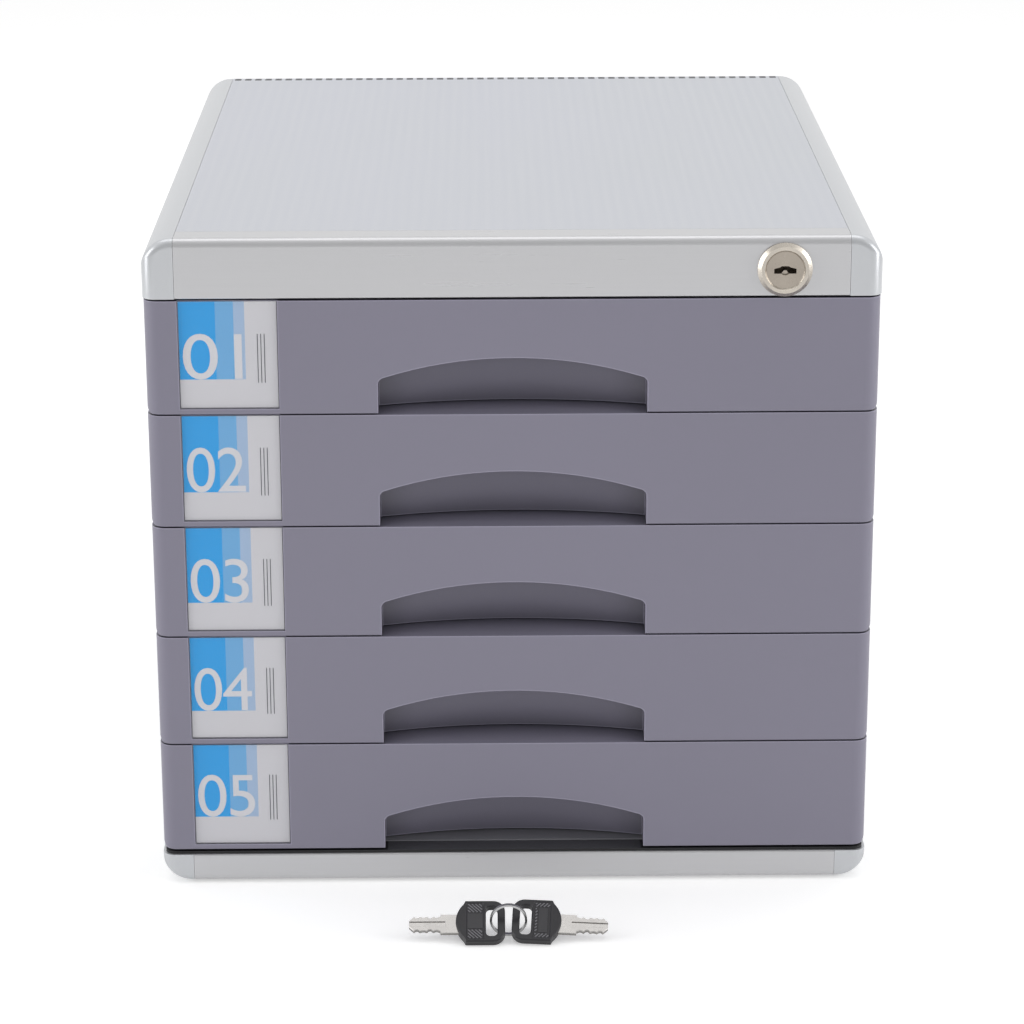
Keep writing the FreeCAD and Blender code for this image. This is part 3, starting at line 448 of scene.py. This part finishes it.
def rail_metal():
    """The two front rails: satin metal brushed from side to side."""
    finish = Finish("rail_silver")
    colour = shade(*RAIL_COLOUR)
    streak = finish.noise(scale=900, detail=4, stretch=(0.03, 1, 1))
    cloud = finish.noise(scale=5)
    base = finish.tinted(streak, colour, dark=0.975, light=1.025)
    # The edges are lightened: a painted highlight along the rail's lower edge, with some rubbed wear.
    finish.put_wear_and_highlight(base, colour, RAIL_WEAR_AND_HIGHLIGHT, gain=4, edge=1.35)
    finish.put("Metallic", 0.5)
    finish.put_roughness(streak, cloud, low=0.27, high=0.37)
    finish.put("Normal", finish.relief(streak, RAIL_GRAIN))
    return finish.material


def top_sheet(back):
    """The top panel: a pale sheet with fine lines from front to back, and painted shade in its flutes' open
    cells at the back edge.
    """
    finish = Finish("top_sheet_silver")
    colour = shade(*TOP_COLOUR)
    cloud = finish.noise(scale=9, stretch=(1, 0.3, 1))
    streak = finish.noise(scale=500, stretch=(1, 0.02, 1))
    wave = finish.add("ShaderNodeTexWave", {"bands_direction": "X"}, Scale=1.0)
    finish.feed(wave.inputs["Vector"], finish.stretched((WAVE_PERIOD / FLUTE_PITCH, 0, 0)))
    rib = wave.outputs["Fac"]
    mixed = finish.math("ADD", finish.math("MULTIPLY", rib, FLUTE_WEIGHT), streak)
    lines = finish.between(mixed, low=0.0, high=1.0, from_range=LINE_RANGE)
    base = finish.tinted(lines, colour, dark=0.985, light=1.015)
    base = finish.blend(finish.between(cloud, low=0.0, high=0.5), base, shade(*TOP_CLOUD_COLOUR))
    parts = finish.add("ShaderNodeSeparateXYZ", Vector=finish.place)
    # Painted shade: the open flute cells within reach of the back edge are coloured dark.
    at_back = finish.math("GREATER_THAN", parts.outputs["Y"], back - FLUTE_DEPTH)
    open_flute_shade = finish.math("GREATER_THAN", rib, FLUTE_OPEN_OVER)
    base = finish.blend(finish.math("MULTIPLY", at_back, open_flute_shade), base, shade(*FLUTE_SHADE_COLOUR))
    finish.put("Base Color", base)
    finish.put("Metallic", 0.1)
    finish.put("Roughness", finish.between(mixed, low=0.38, high=0.5, from_range=LINE_RANGE))
    under = finish.relief(streak, TOP_GRAIN)
    finish.put("Normal", finish.relief(rib, TOP_RIB_DEPTH, under))
    return finish.material


def moulded(name, colour, rough, grain, cell=900, edge=1.12, wear_and_highlight=PLASTIC_WEAR_AND_HIGHLIGHT, painted_shade_reach=0):
    """Moulded plastic with a fine spark-eroded grain and edges lightened as rubbed wear and painted
    highlight, with painted shade darkening its hollows.
    """
    finish = Finish(name)
    colour = shade(*colour)
    cloud = finish.noise(scale=8)
    base = finish.tinted(cloud, colour, dark=0.96, light=1.04)
    # Painted shade: the colour darkens in the hollows, where the surface is closed in.
    if painted_shade_reach:
        mask = finish.add("ShaderNodeAmbientOcclusion", {"samples": MASK_SAMPLES}, Distance=painted_shade_reach)
        openness = finish.between(mask.outputs["AO"], low=0.0, high=1.0, from_range=PAINTED_SHADE_RANGE)
        base = finish.blend(openness, scaled(colour, PAINTED_SHADE_SHARE), base)
    # The edges are lightened: partly rubbed wear, partly a painted highlight.
    finish.put_wear_and_highlight(base, colour, wear_and_highlight, gain=4, edge=edge)
    speck = finish.noise(scale=cell)
    finish.put_roughness(speck, cloud, low=rough - 0.06, high=rough + 0.06)
    finish.put("Normal", finish.relief(speck, grain))
    return finish.material


def nickel(name, colour, rough, cell, grain, turned=0):
    """Plated metal with fine marks from stamping, or from turning about the object's axis."""
    finish = Finish(name)
    cloud = finish.noise(scale=160, detail=4)
    speck = finish.noise(scale=cell)
    base = finish.tinted(cloud, colour, dark=0.86, light=1.08)
    # The edges are lightened: partly rubbed wear, partly a painted highlight.
    finish.put_wear_and_highlight(base, colour, METAL_WEAR_AND_HIGHLIGHT, gain=2, edge=1.3)
    finish.put("Metallic", 1.0)
    finish.put_roughness(speck, cloud, low=rough - 0.07, high=rough + 0.1)
    finish.put("Normal", finish.relief(speck, grain))
    if turned:
        finish.put("Anisotropic", turned)
        round_about = finish.add("ShaderNodeTangent", {"direction_type": "RADIAL", "axis": "Y"})
        finish.put("Tangent", round_about.outputs["Tangent"])
    return finish.material


def window_plastic():
    """The clear window over a label, more milky at its edges: a painted highlight along its bevel."""
    finish = Finish("window_clear")
    cloud = finish.noise(scale=60)
    finish.put("Base Color", finish.blend(cloud, shade(*WINDOW_DARK), shade(*WINDOW_LIGHT)))
    finish.put("Roughness", finish.between(cloud, low=0.1, high=0.2))
    # Painted highlight: the window grows more opaque near its edges, so its pale colour shows there like
    # shine on the bevel.
    rim_highlight = finish.edges(WINDOW_HIGHLIGHT_EDGE, gain=1.4)
    finish.put("Alpha", finish.between(rim_highlight, low=0.03, high=0.4, from_range=(0.0, 1.0)))
    finish.put("Normal", finish.relief(finish.noise(scale=240), WINDOW_GRAIN))
    return finish.material


def card_paper(low, high):
    """A paper card with three blue stripes over its upper left part."""
    finish = Finish("label_paper")
    parts = finish.add("ShaderNodeSeparateXYZ", Vector=finish.place)
    across = finish.between(parts.outputs["X"], low=0.0, high=1.0, from_range=(low.x, high.x))
    fibre = finish.noise(scale=2600)
    paper = finish.tinted(fibre, shade(*PAPER_COLOUR), dark=0.98, light=1.02)
    striped = paper
    for share, colour in reversed(STRIPE_SHARES):
        inside = finish.math("LESS_THAN", across, share)
        striped = finish.blend(inside, striped, shade(*colour))
    rise = finish.between(parts.outputs["Z"], low=0.0, high=1.0, from_range=(low.z, high.z))
    printed = finish.math("GREATER_THAN", rise, FIELD_LOW_SHARE)
    finish.put("Base Color", finish.blend(printed, paper, striped))
    finish.put("Roughness", finish.between(fibre, low=0.55, high=0.7))
    finish.put("Normal", finish.relief(fibre, PAPER_GRAIN))
    return finish.material


def printed_ink(name, colour):
    """Ink or bare paper on a card."""
    finish = Finish(name)
    fibre = finish.noise(scale=2600)
    finish.put("Base Color", finish.tinted(fibre, shade(*colour), dark=0.97, light=1.03))
    finish.put("Roughness", finish.between(fibre, low=0.5, high=0.68))
    finish.put("Normal", finish.relief(fibre, PAPER_GRAIN))
    return finish.material


# Objects and meshes

def shown(name, data):
    """An object with this data, in the scene."""
    item = bpy.data.objects.new(name, data)
    bpy.context.scene.collection.objects.link(item)
    return item


def dress(material, *names):
    """Gives CAD nodes one finish all over."""
    for name in names:
        mesh = nodes[name].data
        mesh.materials.clear()
        mesh.materials.append(material)


def piece(name, mesh, body, material):
    """Puts a mesh in the scene as a piece that rides on a body."""
    item = shown(name, mesh)
    mesh.materials.clear()
    mesh.materials.append(material)
    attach(item, body)
    return item


def mesh_of(work, name):
    """The worked shape as a mesh."""
    mesh = bpy.data.meshes.new(name)
    work.to_mesh(mesh)
    work.free()
    return mesh


def evaluated_mesh(item, name):
    """The mesh that an object comes to with its bevels or modifiers."""
    bpy.context.view_layer.update()
    depsgraph = bpy.context.evaluated_depsgraph_get()
    mesh = bpy.data.meshes.new_from_object(item.evaluated_get(depsgraph))
    mesh.name = name
    return mesh


def curve_mesh(curve, name):
    """A curve turned into a mesh."""
    holder = shown(name + "_lines", curve)
    mesh = evaluated_mesh(holder, name)
    bpy.data.objects.remove(holder)
    bpy.data.curves.remove(curve)
    return mesh


def bar_mesh(name, boxes):
    """A mesh of plain strips, each from its low to its high corner."""
    work = bmesh.new()
    for low, high in boxes:
        made = bmesh.ops.create_cube(work, size=1.0)["verts"]
        size = Vector(high) - Vector(low)
        middle = (Vector(high) + Vector(low)) / 2
        for vertex in made:
            vertex.co = vertex.co * size + middle
    return mesh_of(work, name)


def number_mesh(name, words, thickness):
    """A number as a flat mesh, lying in the plane of a drawer front."""
    curve = bpy.data.curves.new(name + "_outline", "FONT")
    curve.body = words
    curve.size = NUMBER_SIZE
    curve.extrude = thickness / 2
    curve.resolution_u = NUMBER_STEPS
    curve.space_character = NUMBER_SPACING
    mesh = curve_mesh(curve, name)
    mesh.transform(Matrix.Rotation(math.radians(90), 4, "X"))
    return mesh


def extent(mesh):
    """The lowest and highest corner of a mesh."""
    low = Vector([min(v.co[axis] for v in mesh.vertices) for axis in range(3)])
    high = Vector([max(v.co[axis] for v in mesh.vertices) for axis in range(3)])
    return low, high


def fit_mesh(mesh, low, high):
    """Moves and scales a mesh to fill the box from low to high."""
    start, end = extent(mesh)
    for vertex in mesh.vertices:
        for axis in range(3):
            span = end[axis] - start[axis]
            share = (vertex.co[axis] - start[axis]) / span
            vertex.co[axis] = low[axis] + share * (high[axis] - low[axis])


def plate_mesh(name, loops, half, bevel=0):
    """A flat plate with bevelled edges, between its outline and its holes."""
    curve = bpy.data.curves.new(name + "_lines", "CURVE")
    curve.dimensions = "2D"
    curve.fill_mode = "BOTH"
    for loop in loops:
        spline = curve.splines.new("POLY")
        spline.points.add(len(loop) - 1)
        for point, (x, y) in zip(spline.points, loop):
            point.co = (x, y, 0, 1)
        spline.use_cyclic_u = True
    curve.extrude = half - bevel
    curve.bevel_depth = bevel
    curve.bevel_resolution = 0
    curve.offset = -bevel
    return curve_mesh(curve, name)


def joined(name, meshes):
    """Several meshes as one."""
    work = bmesh.new()
    for mesh in meshes:
        work.from_mesh(mesh)
        bpy.data.meshes.remove(mesh)
    bmesh.ops.recalc_face_normals(work, faces=work.faces)
    return mesh_of(work, name)


def arc(x, y, radius, start, end, steps=ARC_STEPS):
    """Points along an arc about a centre, from one angle in degrees to another."""
    points = []
    for step in range(steps + 1):
        angle = math.radians(start + (end - start) * step / steps)
        points.append((x + radius * math.cos(angle), y + radius * math.sin(angle)))
    return points


def round_box(left, under, right, over, radius):
    """A rectangle with rounded corners."""
    return (
        arc(right - radius, under + radius, radius, -90, 0)
        + arc(right - radius, over - radius, radius, 0, 90)
        + arc(left + radius, over - radius, radius, 90, 180)
        + arc(left + radius, under + radius, radius, 180, 270)
    )


def plain_box(left, under, right, over):
    """A rectangle."""
    return [(left, under), (right, under), (right, over), (left, over)]


# Labels

def label_print(number, sheet, paper, ink):
    """The printed sheet on the card, the drawer's number on its blue field, and three lines to write on."""
    low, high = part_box(f"drawer_{number}_label_card")
    body = f"drawer_{number}"
    face = low.y - PRINT_GAP
    top = face - PRINT_SHEET
    sheets = [((low.x, top, low.z), (high.x, face, high.z))]
    piece(f"label_sheet_{number}", bar_mesh(f"label_sheet_{number}", sheets), body, sheet)
    front = top - PRINT_GAP
    back = front - PRINT_SHEET
    wide = high.x - low.x
    tall = high.z - low.z
    left, right, under, over = NUMBER_SHARES
    mesh = number_mesh(f"label_number_{number}", f"0{number}", PRINT_SHEET)
    fit_mesh(
        mesh,
        Vector((low.x + left * wide, back, low.z + under * tall)),
        Vector((low.x + right * wide, front, low.z + over * tall)),
    )
    piece(f"label_number_{number}", mesh, body, paper)
    strips = []
    for share in LINE_SHARES:
        x = low.x + share * wide
        strips.append((
            (x - LINE_HALF, back, low.z + LINE_LOW_SHARE * tall),
            (x + LINE_HALF, front, low.z + LINE_HIGH_SHARE * tall),
        ))
    piece(f"label_lines_{number}", bar_mesh(f"label_lines_{number}", strips), body, ink)


# The cabinet's own forms

def rounded_side(node, material):
    """A side frame whose front outer edge is rounded, cut from the CAD solid's mesh."""
    low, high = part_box(node)
    side = max(abs(low.x), abs(high.x))
    turn = BLOCK_EDGE
    spare = turn / 2
    plan = arc(turn - side, low.y + turn, turn, 180, 270)
    plan += arc(side - turn, low.y + turn, turn, 270, 360)
    plan += [(side, high.y + spare), (-side, high.y + spare)]
    cutter = plate_mesh("cutter", [plan], (high.z - low.z) / 2 + spare)
    cutter.transform(Matrix.Translation((0, 0, (high.z + low.z) / 2)))
    shape = nodes[node].data.copy()
    name = f"{node}_rounded"
    body = shown(name, shape)
    tool = shown("cutter", cutter)
    change = body.modifiers.new("rounding", "BOOLEAN")
    change.operation = "INTERSECT"
    change.solver = "EXACT"
    change.object = tool
    mesh = evaluated_mesh(body, name)
    for item in (body, tool):
        bpy.data.objects.remove(item)
    for used in (shape, cutter):
        bpy.data.meshes.remove(used)
    item = piece(name, mesh, "cabinet", material)
    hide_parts(node)


def liner(dark, middle, pale):
    """The dark sheet over the low rail, in three parts: its front, before the drawer's pull, and behind. The
    front's black is painted shade under the lowest drawer, and the part before the pull a painted lit grey of
    the same sheet.
    """
    corner = LINER_CORNER
    side = LINER_SIDE
    front = arc(side - corner, LINER_FRONT + corner, corner, -90, 0)
    front += [(side, LINER_STEP_Y), (-side, LINER_STEP_Y)]
    front += arc(corner - side, LINER_FRONT + corner, corner, 180, 270)
    behind = plain_box(-side, LINER_STEP_Y, side, LINER_BACK)
    mouth = plain_box(-LINER_MOUTH, LINER_FRONT + APART, LINER_MOUTH, LINER_STEP_Y)
    # Painted shade and light: the front is coloured black as shade, the mouth before the pull a lit grey.
    for label, lines, top, material in (
        ("front", front, LINER_STEP, dark),
        ("mouth", mouth, LINER_STEP + APART, middle),
        ("behind", behind, LINER_HIGH, pale),
    ):
        name = f"liner_{label}"
        mesh = plate_mesh(name, [lines], (top - LINER_LOW) / 2)
        mesh.transform(Matrix.Translation((0, 0, (top + LINER_LOW) / 2)))
        piece(name, mesh, "cabinet", material)


# Keys and ring

def key_place(number):
    """Where a key's own axes stand: along its length, up its lean and out of its face."""
    first = number == 1
    lift = 0 if first else KEY_LIFT
    draw = 0 if first else KEY_DRAW
    rest = HEAD_HALF_SHEET * math.cos(KEY_TILT) - HEAD_BEVEL * math.sin(KEY_TILT)
    foot = Vector((KEY_X - draw, KEY_Y + lift * math.cos(KEY_TILT), rest + lift * math.sin(KEY_TILT)))
    lean = Matrix.Rotation(KEY_TILT, 4, "X")
    flip = Matrix.Rotation(math.pi if first else 0, 4, "Y")
    roll = Matrix.Rotation(0 if first else -KEY_ROLL, 4, "Z")
    return Matrix.Translation(foot) @ lean @ flip @ roll


def key_head(number, material):
    """The plastic head: round at the ring's end, bowed towards the blade, with a slot and a shallow panel."""
    shoulder = HEAD_END - HEAD_BOW
    half = HEAD_WIDTH / 2 - HEAD_CUT
    bow = (half ** 2 + HEAD_BOW ** 2) / (2 * HEAD_BOW)
    swing = math.degrees(math.asin(half / bow))
    outer = [(shoulder - HEAD_CUT / 2, 0)]
    outer += arc(HEAD_END - bow, HEAD_WIDTH / 2, bow, -swing, swing, BOW_STEPS)
    outer += [(shoulder - HEAD_CUT / 2, HEAD_WIDTH)]
    outer += arc(HEAD_GAP + HEAD_CORNER, HEAD_WIDTH - HEAD_CORNER, HEAD_CORNER, 90, 180)
    outer += arc(HEAD_GAP + HEAD_CORNER, HEAD_CORNER, HEAD_CORNER, 180, 270)
    slot = round_box(
        SLOT_MIDDLE - SLOT_WIDTH / 2, (HEAD_WIDTH - SLOT_LENGTH) / 2,
        SLOT_MIDDLE + SLOT_WIDTH / 2, (HEAD_WIDTH + SLOT_LENGTH) / 2, SLOT_CORNER,
    )
    panel = round_box(*PANEL, HEAD_BEVEL)
    shell = plate_mesh("shell", [outer, slot, panel], HEAD_HALF_SHEET, HEAD_BEVEL)
    left, under, right, over = PANEL
    lap = HEAD_BEVEL
    ground = plain_box(left - lap, under - lap, right + lap, over + lap)
    sheet = plate_mesh("sheet", [ground], HEAD_HALF_SHEET - PANEL_DEPTH)
    name = f"key_{number}_shell"
    whole = joined(name, [shell, sheet])
    whole.transform(key_place(number))
    item = piece(name, whole, f"key_{number}", material)
    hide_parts(f"key_{number}_head")


def cuts(near, level, inward):
    """The wavy cuts along one long edge of the blade, from the shank towards the tip."""
    points = []
    slope = (NOTCH_WIDTH - NOTCH_FLAT) / 2
    for index, share in enumerate(NOTCH_SHARES):
        place = near + NOTCH_START + index * NOTCH_PITCH
        deep = level + inward * share * NOTCH_DEPTH
        points += [
            (place, level),
            (place + slope, deep),
            (place + slope + NOTCH_FLAT, deep),
            (place + NOTCH_WIDTH, level),
        ]
    return points


def key_blade(number, material):
    """The metal blade: a broad shank, cuts on both edges and a groove on both faces."""
    middle = BLADE_MIDDLE
    low = middle - BLADE_HALF_WIDTH
    high = middle + BLADE_HALF_WIDTH
    shank = HEAD_END + SHANK_LENGTH
    tip = HEAD_END + BLADE_LENGTH
    root = HEAD_END - HEAD_BOW
    lower = [(root, middle - SHANK_HALF_WIDTH), (shank, middle - SHANK_HALF_WIDTH), (shank, low)]
    lower += cuts(shank, low, 1) + [(tip - BLADE_TIP, low), (tip, middle - BLADE_TIP_HALF)]
    upper = [(tip, middle + BLADE_TIP_HALF), (tip - BLADE_TIP, high)]
    upper += list(reversed(cuts(shank, high, -1)))
    upper += [(shank, high), (shank, middle + SHANK_HALF_WIDTH), (root, middle + SHANK_HALF_WIDTH)]
    start = shank - GROOVE_START
    reach = GROOVE_HALF_WIDTH
    groove = [(tip, middle - reach), (start, middle - reach), (start, middle + reach), (tip, middle + reach)]
    cheeks = plate_mesh("cheeks", [lower + groove + upper], BLADE_HALF_SHEET, BLADE_BEVEL)
    core = plate_mesh("core", [lower + upper], BLADE_HALF_SHEET - GROOVE_DEPTH, BLADE_BEVEL)
    name = f"key_{number}_cut_blade"
    whole = joined(name, [cheeks, core])
    whole.transform(key_place(number))
    item = piece(name, whole, f"key_{number}", material)
    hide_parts(f"key_{number}_blade")


def split_ring(material):
    """The ring of flat wire, two turns with a seam between them."""
    inner = RING_RADIUS - RING_BAND
    half = RING_BREADTH / 2
    section = [
        (inner, -half), (RING_RADIUS, -half), (RING_RADIUS, -RING_SEAM / 2),
        (RING_RADIUS - RING_SEAM, 0), (RING_RADIUS, RING_SEAM / 2), (RING_RADIUS, half), (inner, half),
    ]
    work = bmesh.new()
    rings = []
    for step in range(RING_STEPS):
        angle = 2 * math.pi * step / RING_STEPS
        rings.append([work.verts.new((r * math.cos(angle), r * math.sin(angle), z)) for r, z in section])
    for one, two in zip(rings, rings[1:] + rings[:1]):
        for index in range(len(section)):
            after = (index + 1) % len(section)
            work.faces.new((one[index], two[index], two[after], one[after]))
    bmesh.ops.recalc_face_normals(work, faces=work.faces)
    mesh = mesh_of(work, "key_split_ring")
    low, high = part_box("key_ring")
    mesh.transform(Matrix.Translation((Vector(low) + Vector(high)) / 2) @ Matrix.Rotation(RING_TILT, 4, "X"))
    item = piece("key_split_ring", mesh, "ring", material)
    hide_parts("key_ring")


def slanted_ribs(work, left, right, under, over, floor_level, top_level):
    """Ribs at forty-five degrees across a rectangle, cut off at its sides."""
    start = under - (right - left)
    count = int((over - start) / RIB_PITCH)
    for index in range(1, count + 1):
        offset = start + index * RIB_PITCH
        one = max(left, left + under - offset)
        two = min(right, left + over - offset)
        if two - one < RIB_LEAST:
            continue
        first, last = [(x, offset + x - left) for x in (one + RIB_HALF, two - RIB_HALF)]
        ring = []
        for level, wide in ((floor_level, RIB_HALF), (top_level, RIB_TOP_SHARE * RIB_HALF)):
            for (x, y), side in ((first, 1), (last, 1), (last, -1), (first, -1)):
                shift = side * wide / math.sqrt(2)
                ring.append(work.verts.new((x + shift, y - shift, level)))
        work.faces.new(ring[4:])
        for corner in range(4):
            after = (corner + 1) % 4
            work.faces.new((ring[corner], ring[after], ring[after + 4], ring[corner + 4]))


def on_both_faces(name, work, number, material):
    """Puts raised detail on both faces of a key's head."""
    mesh = bpy.data.meshes.new(name)
    work.to_mesh(mesh)
    bmesh.ops.scale(work, vec=(1, 1, -1), verts=work.verts)
    work.from_mesh(mesh)
    bmesh.ops.recalc_face_normals(work, faces=work.faces)
    work.to_mesh(mesh)
    work.free()
    mesh.transform(key_place(number))
    piece(name, mesh, f"key_{number}", material)


def key_grip(number, rib_highlight_material, plate_material):
    """The slanted ribs and the plain plate in the shallow panels of a key's head; the ribs are grey, a
    painted highlight on the black head's rib crests.
    """
    left, under, right, over = PANEL
    plate_left, plate_low, plate_right, plate_high = KEY_PLATES[number]
    floor_level = HEAD_HALF_SHEET - PANEL_DEPTH - APART
    top_level = HEAD_HALF_SHEET - APART
    fields = [(left, right, under, plate_low - PLATE_RIM), (left, right, plate_high + PLATE_RIM, over)]
    if number == 2:
        fields += [
            (left, plate_left - PLATE_RIM, plate_low, plate_high),
            (plate_right + PLATE_RIM, right, plate_low, plate_high),
        ]
    work = bmesh.new()
    for field in fields:
        slanted_ribs(work, *field, floor_level, top_level)
    on_both_faces(f"key_{number}_grip", work, number, rib_highlight_material)
    work = bmesh.new()
    lines = plain_box(plate_left + APART, plate_low, plate_right - APART, plate_high)
    low_ring = [work.verts.new((x, y, floor_level)) for x, y in lines]
    high_ring = [work.verts.new((x, y, (floor_level + top_level) / 2)) for x, y in lines]
    work.faces.new(high_ring)
    for corner in range(len(lines)):
        after = (corner + 1) % len(lines)
        work.faces.new((low_ring[corner], low_ring[after], high_ring[after], high_ring[corner]))
    on_both_faces(f"key_{number}_plate", work, number, plate_material)


# The room

def camera():
    """The camera at the photograph's viewing angle."""
    yaw, pitch, roll = CAMERA_YAW, CAMERA_PITCH, CAMERA_ROLL
    forward = Vector((math.sin(yaw) * math.cos(pitch), math.cos(yaw) * math.cos(pitch), -math.sin(pitch)))
    level = Vector((math.cos(yaw), -math.sin(yaw), 0))
    upright = level.cross(forward)
    right = math.cos(roll) * level + math.sin(roll) * upright
    up = math.cos(roll) * upright - math.sin(roll) * level
    data = bpy.data.cameras.new("camera")
    data.lens = CAMERA_LENS
    data.sensor_width = SENSOR
    data.clip_start = NEAR_CLIP
    data.clip_end = FAR_CLIP
    item = shown("camera", data)
    turn = Matrix((right, up, -forward)).transposed().to_4x4()
    item.matrix_world = Matrix.Translation(CAMERA_PLACE) @ turn
    bpy.context.scene.camera = item


def seen_rays(finish):
    """One for rays from the camera, in a reflection or through glass, and zero for the others."""
    rays = finish.add("ShaderNodeLightPath")
    mirrored = finish.math("MAXIMUM", rays.outputs["Is Glossy Ray"], rays.outputs["Is Transmission Ray"])
    return finish.math("MAXIMUM", rays.outputs["Is Camera Ray"], mirrored)


def floor():
    """A plain pale floor that looks white and keeps the object's shadow."""
    finish = Finish("floor_white")
    grain = finish.noise(scale=FLOOR_CELLS)
    pale = FLOOR_SHADE + FLOOR_UNEVEN
    finish.put("Base Color", finish.blend(grain, (FLOOR_SHADE,) * 3 + (1,), (pale,) * 3 + (1,)))
    finish.put("Roughness", FLOOR_ROUGH)
    finish.put("Specular IOR Level", 0.0)
    finish.put("Emission Color", (1, 1, 1, 1))
    finish.put("Emission Strength", finish.math("MULTIPLY", seen_rays(finish), FLOOR_LIFT))
    half = FLOOR_HALF
    mesh = bpy.data.meshes.new("floor")
    corners = [(-half, -half, 0), (half, -half, 0), (half, half, 0), (-half, half, 0)]
    mesh.from_pydata(corners, [], [(0, 1, 2, 3)])
    item = shown("floor", mesh)
    mesh.materials.append(finish.material)
    item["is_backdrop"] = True


class Sky(Finish):
    """The world's node tree."""

    def __init__(self):
        self.world = bpy.data.worlds.new("sky")
        self.world.use_nodes = True
        self.tree = self.world.node_tree


def sky():
    """White where it is seen, dimmer before the cabinet in reflections, and a plain soft light elsewhere."""
    world = Sky()
    background = world.tree.nodes["Background"]
    background.inputs["Color"].default_value = (1, 1, 1, 1)
    rays = world.add("ShaderNodeLightPath")
    place = world.add("ShaderNodeTexCoord").outputs["Generated"]
    parts = world.add("ShaderNodeSeparateXYZ", Vector=place)
    mirrored = world.between(parts.outputs["Y"], low=SKY_GLOSS_FRONT, high=1.0, from_range=SKY_TURN)
    level = world.lerp(rays.outputs["Is Glossy Ray"], SKY_LIGHT, mirrored)
    clear = world.math("MAXIMUM", rays.outputs["Is Camera Ray"], rays.outputs["Is Transmission Ray"])
    world.feed(background.inputs["Strength"], world.lerp(clear, level, 1.0))
    bpy.context.scene.world = world.world


def lamps():
    """One large lamp overhead and one on each side of the cabinet's front."""
    for name, place, size, power in LAMPS:
        data = bpy.data.lights.new(name, "AREA")
        data.shape = "RECTANGLE"
        data.size, data.size_y = size
        data.energy = power
        item = shown(name, data)
        item.location = place
        item.rotation_euler = (Vector(LAMP_AIM) - Vector(place)).to_track_quat("-Z", "Y").to_euler()


# Putting it together

def dress_all():
    """The finish of every CAD node, and the pieces that stand for some nodes or lie on them."""
    plastic = {name: moulded(name, **look) for name, look in PLASTICS.items()}
    metal = {name: nickel(name, **look) for name, look in METALS.items()}
    side = side_frame_paint()
    for name in ("right_side_frame", "left_side_frame"):
        dress(side, name)
        rounded_side(name, side)
    dress(rail_metal(), "top_front_rail", "bottom_front_rail")
    top_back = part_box("top_panel")[1].y
    dress(top_sheet(top_back), "top_panel")
    dress(plastic["liner_dark"], "base_panel")
    dress(plastic["back_grey"], "back_panel")
    dress(plastic["foot_rubber_black"], "feet")
    dress(plastic["inner_dark"], "right_runner_frame", "left_runner_frame")
    dress(metal["lock_nickel"], "lock_housing")
    dress(metal["plug_nickel"], "lock_plug")
    dress(metal["lock_steel"], "lock_nut", "lock_cam", "lock_bar", "lock_bar_guides")
    for number in range(1, KEYS + 1):
        dress(plastic["key_black"], f"key_{number}_head")
        dress(metal["key_nickel"], f"key_{number}_blade")
        key_head(number, plastic["key_black"])
        key_blade(number, metal["key_nickel"])
        key_grip(number, plastic["key_rib_highlight_grey"], plastic["key_plate_black"])
    dress(metal["ring_wire_steel"], "key_ring")
    split_ring(metal["ring_wire_steel"])
    liner(plastic["liner_painted_shade_black"], plastic["liner_painted_lit_grey"], plastic["liner_dark"])
    window = window_plastic()
    paper = printed_ink("label_number_white", NUMBER_COLOUR)
    ink = printed_ink("label_ink", INK_COLOUR)
    for number in range(1, DRAWERS + 1):
        dress(plastic["front_violet_grey"], f"drawer_{number}_front")
        dress(plastic["tray_grey"], f"drawer_{number}_tray")
        dress(window, f"drawer_{number}_label_window")
        sheet = card_paper(*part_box(f"drawer_{number}_label_card"))
        dress(sheet, f"drawer_{number}_label_card")
        label_print(number, sheet, paper, ink)


def smooth_shading():
    """Rounded faces look round, sharp edges stay sharp, and the flat faces of the cut sides stay flat."""
    for item in list(bpy.data.objects):
        if item.type == "MESH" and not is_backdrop(item):
            item.data.shade_smooth()
            item.data.set_sharp_from_angle(angle=SMOOTH_ANGLE)
            if item.name.endswith("_rounded"):
                for face in item.data.polygons:
                    face.use_smooth = max(abs(part) for part in face.normal) < FLAT_SHARE


bpy.context.scene.view_settings.view_transform = "Standard"
camera()
floor()
sky()
lamps()
dress_all()
smooth_shading()
